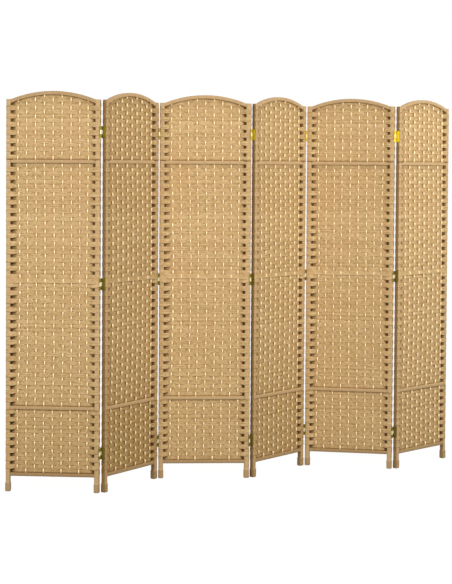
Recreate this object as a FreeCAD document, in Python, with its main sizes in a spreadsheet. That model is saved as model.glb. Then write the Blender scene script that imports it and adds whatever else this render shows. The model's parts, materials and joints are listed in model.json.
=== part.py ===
import FreeCAD, Part
import math
import os

import Sketcher

# Folding room divider: six arched, cord-wound frames filled with a flat weave, joined in a
# zig-zag by double-action hinges. Each panel is modelled once, standing on z = 0 with its left
# edge at x = 0 and its front towards -Y, and then set out at the fold angles of the rest pose.

# Driving dimensions: millimetres, degrees and counts.
SIZES = {
    # one panel
    "panel_width": 400.0,
    "stile_width": 20.0,
    "stile_depth": 20.0,
    "stile_top": 1665.0,
    "stile_corner": 3.0,
    "arch_rise": 35.0,
    "cord_wrap": 1.5,
    "leg_bind_height": 38.0,
    "leg_bind_swell": 1.5,
    "leg_end_round": 4.0,
    # rails
    "rail_height": 16.0,
    "rail_depth": 16.0,
    "rail_corner": 2.5,
    "bottom_rail_level": 74.0,
    "lower_rail_level": 358.0,
    "upper_rail_level": 1403.0,
    "middle_rail_height": 14.0,
    "middle_rail_depth": 4.0,
    "middle_rail_length_gap": 0.3,
    "tenon_diameter": 8.0,
    "middle_tenon_diameter": 3.6,
    "tenon_length": 10.0,
    "tenon_root": 5.0,
    "tenon_clearance": 0.1,
    "mortise_spare": 0.5,
    # weave
    "warp_diameter": 5.0,
    "warp_count": 9,
    "warp_edge_gap": 28.0,
    "warp_clearance": 0.2,
    "weave_depth": 9.0,
    "weave_clearance": 0.3,
    "weft_band": 2.4,
    "lower_rows": 16,
    "middle_rows": 59,
    "middle_rail_row": 30,
    "upper_row_height": 17.4,
    "upper_rows": 14,
    # hinges
    "hinge_gap": 7.0,
    "hinge_height": 50.0,
    "low_hinge_level": 167.0,
    "mid_hinge_level": 886.0,
    "top_hinge_level": 1528.0,
    "leaf_thickness": 1.2,
    "leaf_reach": 8.0,
    "link_thickness": 1.2,
    "pin_standoff": 2.5,
    "knuckle_diameter": 6.0,
    "knuckle_gap": 0.3,
    "pin_diameter": 3.0,
    "pin_clearance": 0.05,
    "pin_head_diameter": 4.6,
    "pin_head_height": 1.0,
    "pin_head_clearance": 0.1,
    "screw_spread": 30.0,
    "screw_shank": 2.8,
    "screw_head": 5.4,
    "screw_length": 13.0,
    "screw_point": 3.0,
    "screw_clearance": 0.05,
    # fold of each joint in the rest pose, in degrees away from flat
    "fold_one_two": 63.5,
    "fold_two_three": 55.3,
    "fold_three_four": 50.1,
    "fold_four_five": 65.4,
    "fold_five_six": 60.7,
    # shared by all cuts
    "cut_overrun": 2.0,
}

PANELS = 6
FOLDS = ("fold_one_two", "fold_two_three", "fold_three_four", "fold_four_five", "fold_five_six")
HINGES = {"low": "Size.low_hinge_level", "mid": "Size.mid_hinge_level", "top": "Size.top_hinge_level"}

# Expressions in the sheet's values that several pieces share.
HALF_SPAN = "(Size.panel_width / 2 - Size.stile_width)"
ARCH_RADIUS = f"(({HALF_SPAN} ^ 2 + Size.arch_rise ^ 2) / (2 * Size.arch_rise))"
ARCH_CENTRE = f"(Size.stile_top + Size.arch_rise - {ARCH_RADIUS})"
ARCH_FOOT = f"({ARCH_CENTRE} + sqrt(({ARCH_RADIUS} - Size.rail_height) ^ 2 - {HALF_SPAN} ^ 2))"
ARCH_TENON_LEVEL = f"((Size.stile_top + {ARCH_FOOT}) / 2)"
RAIL_SPAN = "(Size.panel_width - 2 * Size.stile_width)"
BAY_MIDDLE_FOOT = "(Size.lower_rail_level + Size.rail_height / 2)"
BAY_MIDDLE_HEAD = "(Size.upper_rail_level - Size.rail_height / 2)"
BAY_MIDDLE_ROW = f"(({BAY_MIDDLE_HEAD} - {BAY_MIDDLE_FOOT}) / Size.middle_rows)"
MIDDLE_RAIL_LEVEL = f"({BAY_MIDDLE_FOOT} + (Size.middle_rail_row + 1 / 2) * {BAY_MIDDLE_ROW})"
BAY_LOWER_FOOT = "(Size.bottom_rail_level + Size.rail_height / 2)"
BAY_LOWER_HEAD = "(Size.lower_rail_level - Size.rail_height / 2)"
BAY_LOWER_ROW = f"(({BAY_LOWER_HEAD} - {BAY_LOWER_FOOT}) / Size.lower_rows)"
BAY_UPPER_FOOT = "(Size.upper_rail_level + Size.rail_height / 2)"
WARP_PITCH = f"(({RAIL_SPAN} - 2 * Size.warp_edge_gap) / (Size.warp_count - 1))"
STRAIGHT_RAILS = {
    "bottom": "Size.bottom_rail_level",
    "lower": "Size.lower_rail_level",
    "upper": "Size.upper_rail_level",
}

# Two lengths that differ by less than this are taken as one.
SAME = 1e-6

ALONG_X = FreeCAD.Rotation(FreeCAD.Vector(0, 1, 0), 90)
ALONG_Y = FreeCAD.Rotation(FreeCAD.Vector(1, 0, 0), -90)
UPRIGHT = FreeCAD.Rotation()
HALF_TURN = FreeCAD.Rotation(FreeCAD.Vector(0, 0, 1), 180)

doc = FreeCAD.newDocument("folding_screen")
sheet = doc.addObject("Spreadsheet::Sheet", "Size")
for row, (alias, number) in enumerate(SIZES.items(), start=1):
    sheet.set(f"A{row}", alias)
    sheet.set(f"B{row}", str(number))
    sheet.setAlias(f"B{row}", alias)
doc.recompute()


def value(expression):
    """The number that an expression in the sheet's values gives."""
    return float(sheet.evalExpression(expression))


def bind(item, **expressions):
    """Bind properties of an object to expressions in the sheet's values."""
    for name, expression in expressions.items():
        item.setExpression(name, expression)
    return item


def place(item, x="0", y="0", z="0", turn=UPRIGHT):
    """Turn an object and bind its position."""
    item.Placement = FreeCAD.Placement(FreeCAD.Vector(), turn)
    for axis, expression in zip("xyz", (x, y, z)):
        if expression != "0":
            item.setExpression(f"Placement.Base.{axis}", expression)
    return item


def box(name, length, width, height, x="0", y="0", z="0"):
    item = doc.addObject("Part::Box", name)
    bind(item, Length=length, Width=width, Height=height)
    return place(item, x, y, z)


def centred_box(name, length, depth, height, x, level):
    """A box that is centred on y = 0 and on a level."""
    return box(name, length, depth, height, x, f"-({depth}) / 2", f"{level} - ({height}) / 2")


def rod(name, radius, length, x="0", y="0", z="0", turn=UPRIGHT):
    item = doc.addObject("Part::Cylinder", name)
    bind(item, Radius=radius, Height=length)
    return place(item, x, y, z, turn)


def arch_disc(name, radius, depth):
    """A disc about the arch's centre, centred on y = 0."""
    return rod(name, radius, depth, "Size.panel_width / 2", f"-({depth}) / 2", ARCH_CENTRE, ALONG_Y)


def group(name, items):
    item = doc.addObject("Part::Compound", name)
    item.Links = items
    return item


def union(name, items):
    item = doc.addObject("Part::MultiFuse", name)
    item.Shapes = items
    return item


def common(name, items):
    item = doc.addObject("Part::MultiCommon", name)
    item.Shapes = items
    return item


def cut(name, base, tools):
    item = doc.addObject("Part::Cut", name)
    item.Base = base
    item.Tool = tools[0] if len(tools) == 1 else group(name + "_tools", tools)
    return item


def origin_plane(body, role):
    return next(item for item in body.Origin.OriginFeatures if item.Role == role)


def sketch(body, name, role="XY_Plane", level="0"):
    """A sketch on one of the body's own planes, lifted along that plane's normal."""
    item = body.newObject("Sketcher::SketchObject", name)
    item.AttachmentSupport = [(origin_plane(body, role), "")]
    item.MapMode = "FlatFace"
    if level != "0":
        item.setExpression("AttachmentOffset.Base.z", level)
    return item


def outline(profile, corners):
    """A closed outline through corners given as pairs of expressions."""
    points = [FreeCAD.Vector(value(x), value(y), 0) for x, y in corners]
    first = profile.GeometryCount
    count = len(points)
    for i in range(count):
        profile.addGeometry(Part.LineSegment(points[i], points[(i + 1) % count]), False)
    for i, (x, y) in enumerate(corners):
        edge = first + i
        profile.addConstraint(Sketcher.Constraint("Coincident", edge, 2, first + (i + 1) % count, 1))
        for kind, axis, number, expression in (
            ("DistanceX", -2, points[i].x, x),
            ("DistanceY", -1, points[i].y, y),
        ):
            if number == 0:
                profile.addConstraint(Sketcher.Constraint("PointOnObject", edge, 1, axis))
            else:
                mark = profile.addConstraint(Sketcher.Constraint(kind, -1, 1, edge, 1, number))
                profile.setExpression(f"Constraints[{mark}]", expression)
    return profile


def rectangle(profile, left, right, low, high):
    return outline(profile, [(left, low), (right, low), (right, high), (left, high)])


def pad(body, name, profile, length):
    item = body.newObject("PartDesign::Pad", name)
    item.Profile = profile
    bind(item, Length=length)
    doc.recompute()
    return item


def pocket_up(body, name, profile, length):
    """A pocket that runs along the sketch's normal."""
    item = body.newObject("PartDesign::Pocket", name)
    item.Profile = profile
    item.Type = "Length"
    item.Reversed = True
    bind(item, Length=length)
    doc.recompute()
    return item


def round_edges(body, name, base, radius, wanted):
    """A fillet on the edges whose ends all answer to a test."""
    names = []
    for number, edge in enumerate(base.Shape.Edges, start=1):
        if wanted([vertex.Point for vertex in edge.Vertexes]):
            names.append(f"Edge{number}")
    item = body.newObject("PartDesign::Fillet", name)
    item.Base = (base, names)
    bind(item, Radius=radius)
    doc.recompute()
    return item


def repeat(body, name, original, profile, axis, length, count):
    """A row of copies of a pocket along an axis of its sketch."""
    item = body.newObject("PartDesign::LinearPattern", name)
    item.Originals = [original]
    item.Direction = (profile, [axis])
    item.Reversed = False
    bind(item, Length=length)
    item.Occurrences = count
    body.Tip = item
    doc.recompute()
    return item


def turn_to_right(piece):
    """Set a left-hand piece on the panel's right-hand stile: a half turn about the panel's middle."""
    return place(piece, x="Size.panel_width", turn=HALF_TURN)


def rail_holes(name, start, length, widen):
    """Round holes in a left stile, one at each rail's tenon."""
    holes = []
    levels = dict(STRAIGHT_RAILS, arch=ARCH_TENON_LEVEL)
    for rail, level in levels.items():
        radius = f"Size.tenon_diameter / 2 + {widen}"
        holes.append(rod(f"{name}_{rail}", radius, length, start, "0", level, ALONG_X))
    radius = f"Size.middle_tenon_diameter / 2 + {widen}"
    holes.append(rod(f"{name}_middle", radius, length, start, "0", MIDDLE_RAIL_LEVEL, ALONG_X))
    return holes


def screw_places():
    """Name and level of each hinge screw on one stile edge."""
    for hinge, level in HINGES.items():
        yield f"{hinge}_lower", f"{level} - Size.screw_spread / 2"
        yield f"{hinge}_upper", f"{level} + Size.screw_spread / 2"


def screw_holes(name):
    """Holes for the hinge screws, from outside the stile's outer face to past the screws' points."""
    radius = "Size.screw_shank / 2 + Size.screw_clearance"
    length = "Size.cut_overrun + Size.screw_length"
    return [
        rod(f"{name}_{spot}", radius, length, "-Size.cut_overrun", "0", level, ALONG_X)
        for spot, level in screw_places()
    ]


def stile_core(name, hinged):
    """The wooden bar inside a stile, with a mortise for each rail and pilot holes for screws."""
    width = "Size.stile_width - 2 * Size.cord_wrap"
    depth = "Size.stile_depth - 2 * Size.cord_wrap"
    height = "Size.stile_top - Size.cord_wrap"
    wrap = "Size.cord_wrap"
    blank = box(f"{name}_blank", width, depth, height, wrap, f"-({depth}) / 2", wrap)
    start = "Size.stile_width - Size.tenon_length - Size.mortise_spare"
    length = "Size.tenon_length + Size.mortise_spare + Size.cut_overrun"
    tools = rail_holes(f"{name}_mortise", start, length, "Size.tenon_clearance")
    if hinged:
        tools += screw_holes(f"{name}_pilot")
    return cut(name, blank, tools)


def stile_winding(name, hinged):
    """The cord wound on a stile: a sleeve with a thicker, rounded and closed leg end."""
    body = doc.addObject("PartDesign::Body", f"{name}_body")
    half = "Size.stile_depth / 2"
    plan = rectangle(sketch(body, f"{name}_plan"), "0", "Size.stile_width", f"-{half}", half)
    sleeve = pad(body, f"{name}_sleeve", plan, "Size.stile_top")
    top = value("Size.stile_top")
    sleeve = round_edges(
        body, f"{name}_corners", sleeve, "Size.stile_corner",
        lambda ends: len(ends) == 2 and abs(abs(ends[0].z - ends[1].z) - top) < SAME,
    )
    swell = "Size.leg_bind_swell"
    plan = rectangle(
        sketch(body, f"{name}_leg_plan"), f"-{swell}", f"Size.stile_width + {swell}",
        f"-{half} - {swell}", f"{half} + {swell}",
    )
    leg = pad(body, f"{name}_leg", plan, "Size.leg_bind_height")
    reach = value("-Size.leg_bind_swell")
    height = value("Size.leg_bind_height")
    outer = (reach, value("Size.stile_width") - reach)
    leg = round_edges(
        body, f"{name}_leg_edges", leg, "Size.leg_end_round",
        lambda ends: len(ends) == 2
        and all(end.z < height + SAME for end in ends)
        and all(min(abs(end.x - x) for x in outer) < SAME for end in ends)
        and min(end.z for end in ends) < SAME,
    )
    wrap = "Size.cord_wrap"
    plan = rectangle(
        sketch(body, f"{name}_core_plan", level=wrap), wrap, f"Size.stile_width - {wrap}",
        f"-{half} + {wrap}", f"{half} - {wrap}",
    )
    pocket_up(body, f"{name}_core_room", plan, "Size.stile_top")
    start = f"Size.stile_width - {wrap} - Size.tenon_clearance"
    length = f"{wrap} + Size.tenon_clearance + Size.cut_overrun"
    tools = rail_holes(f"{name}_tenon_hole", start, length, "Size.tenon_clearance")
    if hinged:
        tools += screw_holes(f"{name}_screw_hole")
    return cut(name, body, tools)


def rail_core(name, level):
    """The wooden bar inside a straight rail, turned down to a round tenon at each end."""
    height = "Size.rail_height - 2 * Size.cord_wrap"
    depth = "Size.rail_depth - 2 * Size.cord_wrap"
    bar = centred_box(f"{name}_bar", RAIL_SPAN, depth, height, "Size.stile_width", level)
    length = f"{RAIL_SPAN} + 2 * Size.tenon_length"
    start = "Size.stile_width - Size.tenon_length"
    tenons = rod(f"{name}_tenons", "Size.tenon_diameter / 2", length, start, "0", level, ALONG_X)
    return union(name, [bar, tenons])


def middle_rail(name):
    """The thin rail that lies hidden inside the weave of the middle bay."""
    spare = "Size.middle_rail_length_gap"
    bar = centred_box(
        f"{name}_bar", f"{RAIL_SPAN} - 2 * {spare}", "Size.middle_rail_depth", "Size.middle_rail_height",
        f"Size.stile_width + {spare}", MIDDLE_RAIL_LEVEL,
    )
    length = f"{RAIL_SPAN} + 2 * Size.tenon_length"
    start = "Size.stile_width - Size.tenon_length"
    radius = "Size.middle_tenon_diameter / 2"
    tenons = rod(f"{name}_tenons", radius, length, start, "0", MIDDLE_RAIL_LEVEL, ALONG_X)
    return union(name, [bar, tenons])


def rail_winding(name, level):
    """The cord wound on a straight rail: a square sleeve with rounded edges."""
    body = doc.addObject("PartDesign::Body", name)
    half_depth = "Size.rail_depth / 2"
    half_height = "Size.rail_height / 2"
    section = rectangle(
        sketch(body, f"{name}_section", "YZ_Plane", "Size.stile_width"),
        f"-{half_depth}", half_depth, f"{level} - {half_height}", f"{level} + {half_height}",
    )
    sleeve = pad(body, f"{name}_sleeve", section, RAIL_SPAN)
    span = value(RAIL_SPAN)
    round_edges(
        body, f"{name}_edges", sleeve, "Size.rail_corner",
        lambda ends: len(ends) == 2 and abs(abs(ends[0].x - ends[1].x) - span) < SAME,
    )
    wrap = "Size.cord_wrap"
    section = rectangle(
        sketch(body, f"{name}_core_section", "YZ_Plane", "Size.stile_width"),
        f"-{half_depth} + {wrap}", f"{half_depth} - {wrap}",
        f"{level} - {half_height} + {wrap}", f"{level} + {half_height} - {wrap}",
    )
    pocket_up(body, f"{name}_core_room", section, RAIL_SPAN)
    return body


def arch_bar(name, inset, room):
    """A bent bar between the stiles, drawn in by an inset on its four sides."""
    depth = f"Size.rail_depth - 2 * {inset}"
    outer = arch_disc(f"{name}_outer", f"{ARCH_RADIUS} - {inset}", depth)
    hollow = f"{ARCH_RADIUS} - Size.rail_height + {inset}"
    inner = arch_disc(f"{name}_inner", hollow, f"{depth} + Size.cut_overrun")
    ring = cut(f"{name}_ring", outer, [inner])
    height = "Size.arch_rise + 2 * Size.rail_height"
    bay = box(
        f"{name}_bay", f"{RAIL_SPAN} + 2 * {room}", "Size.stile_depth", height,
        f"Size.stile_width - {room}", "-Size.stile_depth / 2", "Size.stile_top - 2 * Size.rail_height",
    )
    return common(f"{name}_bow", [ring, bay])


def arch_core(name):
    """The bent wooden top rail with its two tenons."""
    bow = arch_bar(name, "Size.cord_wrap", "0")
    length = "Size.tenon_length + Size.tenon_root"
    radius = "Size.tenon_diameter / 2"
    start = "Size.stile_width - Size.tenon_length"
    far_start = "Size.panel_width - Size.stile_width - Size.tenon_root"
    left = rod(f"{name}_left_tenon", radius, length, start, "0", ARCH_TENON_LEVEL, ALONG_X)
    right = rod(f"{name}_right_tenon", radius, length, far_start, "0", ARCH_TENON_LEVEL, ALONG_X)
    trimmed = arch_disc(f"{name}_trim", f"{ARCH_RADIUS} - Size.cord_wrap", "Size.rail_depth")
    tenons = group(f"{name}_tenons", [left, right])
    return union(name, [bow, common(f"{name}_tenons_trimmed", [tenons, trimmed])])


def arch_winding(name):
    """The cord wound on the arched rail."""
    outside = arch_bar(f"{name}_outside", "0", "0")
    inside = arch_bar(f"{name}_inside", "Size.cord_wrap", "Size.cut_overrun")
    return cut(name, outside, [inside])


def warp_rods(name, foot, head, radius):
    """A row of upright rods across the panel, from a foot level to a head level for each rod."""
    rods = []
    for number in range(int(value("Size.warp_count"))):
        x = f"Size.stile_width + Size.warp_edge_gap + {number} * {WARP_PITCH}"
        top = head(x) if callable(head) else head
        rods.append(rod(f"{name}_{number + 1}", radius, f"{top} - {foot}", x, "0", foot))
    return rods


def arch_underside(x):
    """Level of the arch's underside over the outer edge of a warp at x."""
    offset = f"(abs({x} - Size.panel_width / 2) + Size.warp_diameter / 2)"
    return f"({ARCH_CENTRE} + sqrt(({ARCH_RADIUS} - Size.rail_height) ^ 2 - {offset} ^ 2))"


def warps(name):
    """All warp cords of one panel, bay by bay, each running from rail to rail."""
    radius = "Size.warp_diameter / 2"
    rail_low = f"{MIDDLE_RAIL_LEVEL} - Size.middle_rail_height / 2"
    rail_high = f"({MIDDLE_RAIL_LEVEL} + Size.middle_rail_height / 2)"
    cords = warp_rods(f"{name}_lower", BAY_LOWER_FOOT, BAY_LOWER_HEAD, radius)
    cords += warp_rods(f"{name}_middle_low", BAY_MIDDLE_FOOT, rail_low, radius)
    cords += warp_rods(f"{name}_middle_high", rail_high, BAY_MIDDLE_HEAD, radius)
    cords += warp_rods(f"{name}_upper", BAY_UPPER_FOOT, arch_underside, radius)
    return cords


def weave_slab(name, foot, height, row_height, front_runs, back_runs):
    """The woven sheet of one bay. It widens towards the stiles, where rows pass in front of the
    stile and behind it in turn: each run cuts the other side away, row by row. A run is the
    number of its first row and how many rows it takes, every second one."""
    body = doc.addObject("PartDesign::Body", f"{name}_body")
    room = "Size.weave_clearance"
    edge = f"(Size.stile_width + {room})"
    first = "(Size.stile_width + Size.warp_edge_gap)"
    wide = "Size.stile_depth / 2"
    thin = "Size.weave_depth / 2"
    last = f"(Size.panel_width - {first})"
    far = f"(Size.panel_width - {edge})"
    plan = outline(sketch(body, f"{name}_plan", level=f"{foot} + {room}"), [
        (edge, f"-{wide}"), (first, f"-{thin}"), (last, f"-{thin}"), (far, f"-{wide}"),
        (far, wide), (last, thin), (first, thin), (edge, wide),
    ])
    pad(body, f"{name}_pad", plan, f"{height} - 2 * {room}")
    runs = [(f"{name}_front_{i}", "-", "", run) for i, run in enumerate(front_runs)]
    runs += [(f"{name}_back_{i}", "", "-", run) for i, run in enumerate(back_runs)]
    for run_name, near, away, (first_row, count) in runs:
        level = f"{foot} + {first_row} * {row_height}"
        profile = sketch(body, f"{run_name}_plan", level=level)
        over = "Size.cut_overrun"
        left, right = f"{edge} - {over}", f"{far} + {over}"
        outline(profile, [
            (left, f"{near}({wide} + {over})"), (first, f"{near}{thin}"),
            (left, f"{away}({wide} - Size.weft_band)"),
        ])
        outline(profile, [
            (right, f"{near}({wide} + {over})"), (right, f"{away}({wide} - Size.weft_band)"),
            (last, f"{near}{thin}"),
        ])
        notch = pocket_up(body, run_name, profile, row_height)
        length = f"{2 * (count - 1)} * {row_height}"
        repeat(body, f"{run_name}_rows", notch, profile, "N_Axis", length, count)
    return body


def weft(name):
    """The woven sheets of the three bays, bored for the warps."""
    lower_rows = int(value("Size.lower_rows"))
    middle_rows = int(value("Size.middle_rows"))
    rail_row = int(value("Size.middle_rail_row"))
    upper_rows = int(value("Size.upper_rows"))
    bore = "Size.warp_diameter / 2 + Size.warp_clearance"
    lower = weave_slab(
        f"{name}_lower", BAY_LOWER_FOOT, f"({BAY_LOWER_HEAD} - {BAY_LOWER_FOOT})", BAY_LOWER_ROW,
        [(0, lower_rows // 2)], [(1, lower_rows // 2)],
    )
    middle = weave_slab(
        f"{name}_middle", BAY_MIDDLE_FOOT, f"({BAY_MIDDLE_HEAD} - {BAY_MIDDLE_FOOT})", BAY_MIDDLE_ROW,
        [(0, rail_row // 2), (rail_row + 2, (middle_rows - rail_row) // 2)], [(1, middle_rows // 2)],
    )
    upper_height = f"(Size.stile_top + Size.arch_rise - {BAY_UPPER_FOOT})"
    upper = weave_slab(
        f"{name}_upper", BAY_UPPER_FOOT, upper_height, "Size.upper_row_height",
        [(1, upper_rows // 2)], [(0, upper_rows // 2)],
    )
    crown = arch_disc(
        f"{name}_crown", f"{ARCH_RADIUS} - Size.rail_height - Size.weave_clearance",
        "Size.stile_depth + Size.cut_overrun",
    )
    arched = common(f"{name}_arched", [upper, crown])
    room = "Size.weave_clearance"
    slot = centred_box(
        f"{name}_slot", "Size.panel_width", f"Size.middle_rail_depth + 2 * Size.warp_clearance",
        f"Size.middle_rail_height + 2 * {room}", "0", MIDDLE_RAIL_LEVEL,
    )
    return [
        cut(f"{name}_lower", lower, warp_rods(f"{name}_lower_bore", BAY_LOWER_FOOT, BAY_LOWER_HEAD, bore)),
        cut(
            f"{name}_middle", middle,
            warp_rods(f"{name}_middle_bore", BAY_MIDDLE_FOOT, BAY_MIDDLE_HEAD, bore) + [slot],
        ),
        cut(
            f"{name}_upper", arched,
            warp_rods(f"{name}_upper_bore", BAY_UPPER_FOOT, "(Size.stile_top + Size.arch_rise)", bore),
        ),
    ]


# Thirds of a hinge's height, from its foot: the leaves hold the outer knuckles and the link
# holds the middle one.
KNUCKLE = "(Size.hinge_height / 3)"
KNUCKLE_RADIUS = "(Size.knuckle_diameter / 2)"
PIN_OFFSET = "(Size.stile_depth / 2 + Size.pin_standoff)"
PIN_BORE = "(Size.pin_diameter / 2 + Size.pin_clearance)"
SETBACK = f"({PIN_OFFSET} - {KNUCKLE_RADIUS} - Size.knuckle_gap)"


def hinge_leaf(name, level):
    """A leaf on the left edge of a panel, with its two knuckles behind the stile."""
    foot = f"({level} - Size.hinge_height / 2)"
    thick = "Size.leaf_thickness"
    plate = box(
        f"{name}_plate", thick, f"Size.leaf_reach + {PIN_OFFSET}", "Size.hinge_height",
        f"-{thick}", "-Size.leaf_reach", foot,
    )
    over = "Size.cut_overrun"
    notch = box(
        f"{name}_notch", f"{thick} + 2 * {over}", f"{PIN_OFFSET} - {SETBACK} + {over}",
        f"{KNUCKLE} + Size.knuckle_gap", f"-{thick} - {over}", SETBACK,
        f"{foot} + {KNUCKLE} - Size.knuckle_gap / 2",
    )
    length = f"{KNUCKLE} - Size.knuckle_gap / 2"
    x = "-Size.hinge_gap / 2"
    low = rod(f"{name}_low_knuckle", KNUCKLE_RADIUS, length, x, PIN_OFFSET, foot)
    top_foot = f"{foot} + 2 * {KNUCKLE} + Size.knuckle_gap / 2"
    top = rod(f"{name}_top_knuckle", KNUCKLE_RADIUS, length, x, PIN_OFFSET, top_foot)
    leaf = union(f"{name}_blank", [cut(f"{name}_notched", plate, [notch]), low, top])
    bore_height = f"Size.hinge_height + 2 * {over}"
    tools = [rod(f"{name}_bore", PIN_BORE, bore_height, x, PIN_OFFSET, f"{foot} - {over}")]
    for sign, spot in (("-", "lower"), ("+", "upper")):
        hole_level = f"{level} {sign} Size.screw_spread / 2"
        seat = doc.addObject("Part::Cone", f"{name}_{spot}_seat")
        bind(
            seat, Radius1="Size.screw_head / 2 + Size.screw_clearance",
            Radius2="Size.screw_shank / 2 + Size.screw_clearance", Height=thick,
        )
        tools.append(place(seat, f"-{thick}", "0", hole_level, ALONG_X))
    return cut(name, leaf, tools)


def hinge_link(name, level):
    """The plate between two panels, with a knuckle at its front and at its back. It is modelled
    about the middle of the gap between the stiles."""
    foot = f"({level} - Size.hinge_height / 2)"
    thick = "Size.link_thickness"
    start = f"-{thick} / 2"
    web = centred_box(f"{name}_web", thick, f"2 * {SETBACK}", "Size.hinge_height", start, level)
    tongue_height = f"{KNUCKLE} - Size.knuckle_gap"
    tongue = centred_box(f"{name}_tongue", thick, f"2 * {PIN_OFFSET}", tongue_height, start, level)
    knuckle_foot = f"{foot} + {KNUCKLE} + Size.knuckle_gap / 2"
    parts = [web, tongue]
    bores = []
    for side, sign in (("front", "-"), ("back", "")):
        y = f"{sign}{PIN_OFFSET}"
        parts.append(rod(f"{name}_{side}_knuckle", KNUCKLE_RADIUS, tongue_height, "0", y, knuckle_foot))
        bores.append(rod(f"{name}_{side}_bore", PIN_BORE, "Size.hinge_height", "0", y, foot))
    return cut(name, union(f"{name}_blank", parts), bores)


def revolved(name, corners, turn=UPRIGHT, x="0", y="0", z="0"):
    """A turned piece: its half outline, in radius and height, spun about the z axis."""
    body = doc.addObject("PartDesign::Body", name)
    profile = outline(sketch(body, f"{name}_profile", "XZ_Plane"), corners)
    spin = body.newObject("PartDesign::Revolution", f"{name}_spin")
    spin.Profile = profile
    spin.ReferenceAxis = (profile, ["V_Axis"])
    spin.Angle = 360
    doc.recompute()
    return place(body, x, y, z, turn)


def hinge_pin(name, level, y):
    """A headed pin, its heads just clear of the knuckles."""
    radius, head = "Size.pin_diameter / 2", "Size.pin_head_diameter / 2"
    reach = "(Size.hinge_height / 2 + Size.pin_head_clearance)"
    end = f"({reach} + Size.pin_head_height)"
    corners = [
        ("0", f"-{end}"), (head, f"-{end}"), (head, f"-{reach}"), (radius, f"-{reach}"),
        (radius, reach), (head, reach), (head, end), ("0", end),
    ]
    return revolved(name, corners, y=y, z=level)


def hinge_screw(name, level):
    """A countersunk wood screw through a leaf on the panel's left edge, its axis along x."""
    radius, head = "Size.screw_shank / 2", "Size.screw_head / 2"
    corners = [
        ("0", "0"), (head, "0"), (radius, "Size.leaf_thickness"),
        (radius, "Size.screw_length - Size.screw_point"), ("0", "Size.screw_length"),
    ]
    return revolved(name, corners, ALONG_X, "-Size.leaf_thickness", "0", level)


def both_sides(make, name, *options):
    """A left-hand piece and the same piece set on the right-hand side."""
    right = turn_to_right(make(f"right_{name}", *options))
    return {"left": make(f"left_{name}", *options), "right": right}


def panel_frames():
    """Plan position and direction of each panel in a zig-zag that starts at the origin."""
    frames = []
    yaw = 0.0
    edge = FreeCAD.Vector()
    width, half_gap = value("Size.panel_width"), value("Size.hinge_gap") / 2
    offset = value(PIN_OFFSET)
    for number in range(PANELS):
        along = FreeCAD.Vector(math.cos(yaw), math.sin(yaw), 0)
        across = FreeCAD.Vector(-math.sin(yaw), math.cos(yaw), 0)
        frames.append((edge, yaw))
        if number == PANELS - 1:
            break
        side = 1 if number % 2 == 0 else -1
        pin = edge + along * (width + half_gap) + across * (side * offset)
        yaw += side * math.radians(value(f"Size.{FOLDS[number]}"))
        along = FreeCAD.Vector(math.cos(yaw), math.sin(yaw), 0)
        across = FreeCAD.Vector(-math.sin(yaw), math.cos(yaw), 0)
        edge = pin - across * (side * offset) + along * half_gap
    return frames


def link_frame(frames, number):
    """Place of the link after a panel: it lies along the edge of the panel whose pin is closed."""
    width, half_gap = value("Size.panel_width"), value("Size.hinge_gap") / 2
    if number % 2 == 0:
        edge, yaw = frames[number]
        shift = width + half_gap
    else:
        edge, yaw = frames[number + 1]
        shift = -half_gap
    along = FreeCAD.Vector(math.cos(yaw), math.sin(yaw), 0)
    return edge + along * shift, yaw


def standing(point, yaw):
    return FreeCAD.Placement(point, FreeCAD.Rotation(FreeCAD.Vector(0, 0, 1), math.degrees(yaw)))


# The screen's two outer stiles carry no hinges, so a stile is made both plain and hinged.
cores = {}
sleeves = {}
for flag in ("plain", "hinged"):
    cores[flag] = both_sides(stile_core, f"stile_core_{flag}", flag == "hinged")
    sleeves[flag] = both_sides(stile_winding, f"stile_winding_{flag}", flag == "hinged")
rail_cores = [rail_core(f"{name}_rail_core", level) for name, level in STRAIGHT_RAILS.items()]
rail_cores += [middle_rail("middle_rail"), arch_core("arch_core")]
rail_sleeves = [rail_winding(f"{name}_rail_winding", level) for name, level in STRAIGHT_RAILS.items()]
rail_sleeves.append(arch_winding("arch_winding"))
warp_cords = warps("warp")
weft_sheets = weft("weft")
leaves = {"left": [], "right": []}
screws = {"left": [], "right": []}
for hinge, hinge_level in HINGES.items():
    for side, piece in both_sides(hinge_leaf, f"{hinge}_leaf", hinge_level).items():
        leaves[side].append(piece)
for spot, screw_level in screw_places():
    screws["left"].append(hinge_screw(f"left_screw_{spot}", screw_level))
    right_screw = hinge_screw(f"right_screw_{spot}", screw_level)
    right_screw.setExpression("Placement.Base.x", "Size.panel_width + Size.leaf_thickness")
    right_screw.Placement = FreeCAD.Placement(right_screw.Placement.Base, HALF_TURN.multiply(ALONG_X))
    screws["right"].append(right_screw)
links = [hinge_link(f"{hinge}_link", level) for hinge, level in HINGES.items()]
pins = []
for hinge, hinge_level in HINGES.items():
    pins.append(hinge_pin(f"{hinge}_front_pin", hinge_level, f"-{PIN_OFFSET}"))
    pins.append(hinge_pin(f"{hinge}_back_pin", hinge_level, PIN_OFFSET))
doc.recompute()

# The zig-zag is turned so that the line from its first edge to its last lies along X.
zigzag = panel_frames()
last_edge, last_yaw = zigzag[-1]
last_along = FreeCAD.Vector(math.cos(last_yaw), math.sin(last_yaw), 0)
reach = last_edge + last_along * value("Size.panel_width")
squared = standing(FreeCAD.Vector(), -math.atan2(reach.y, reach.x))

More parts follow.
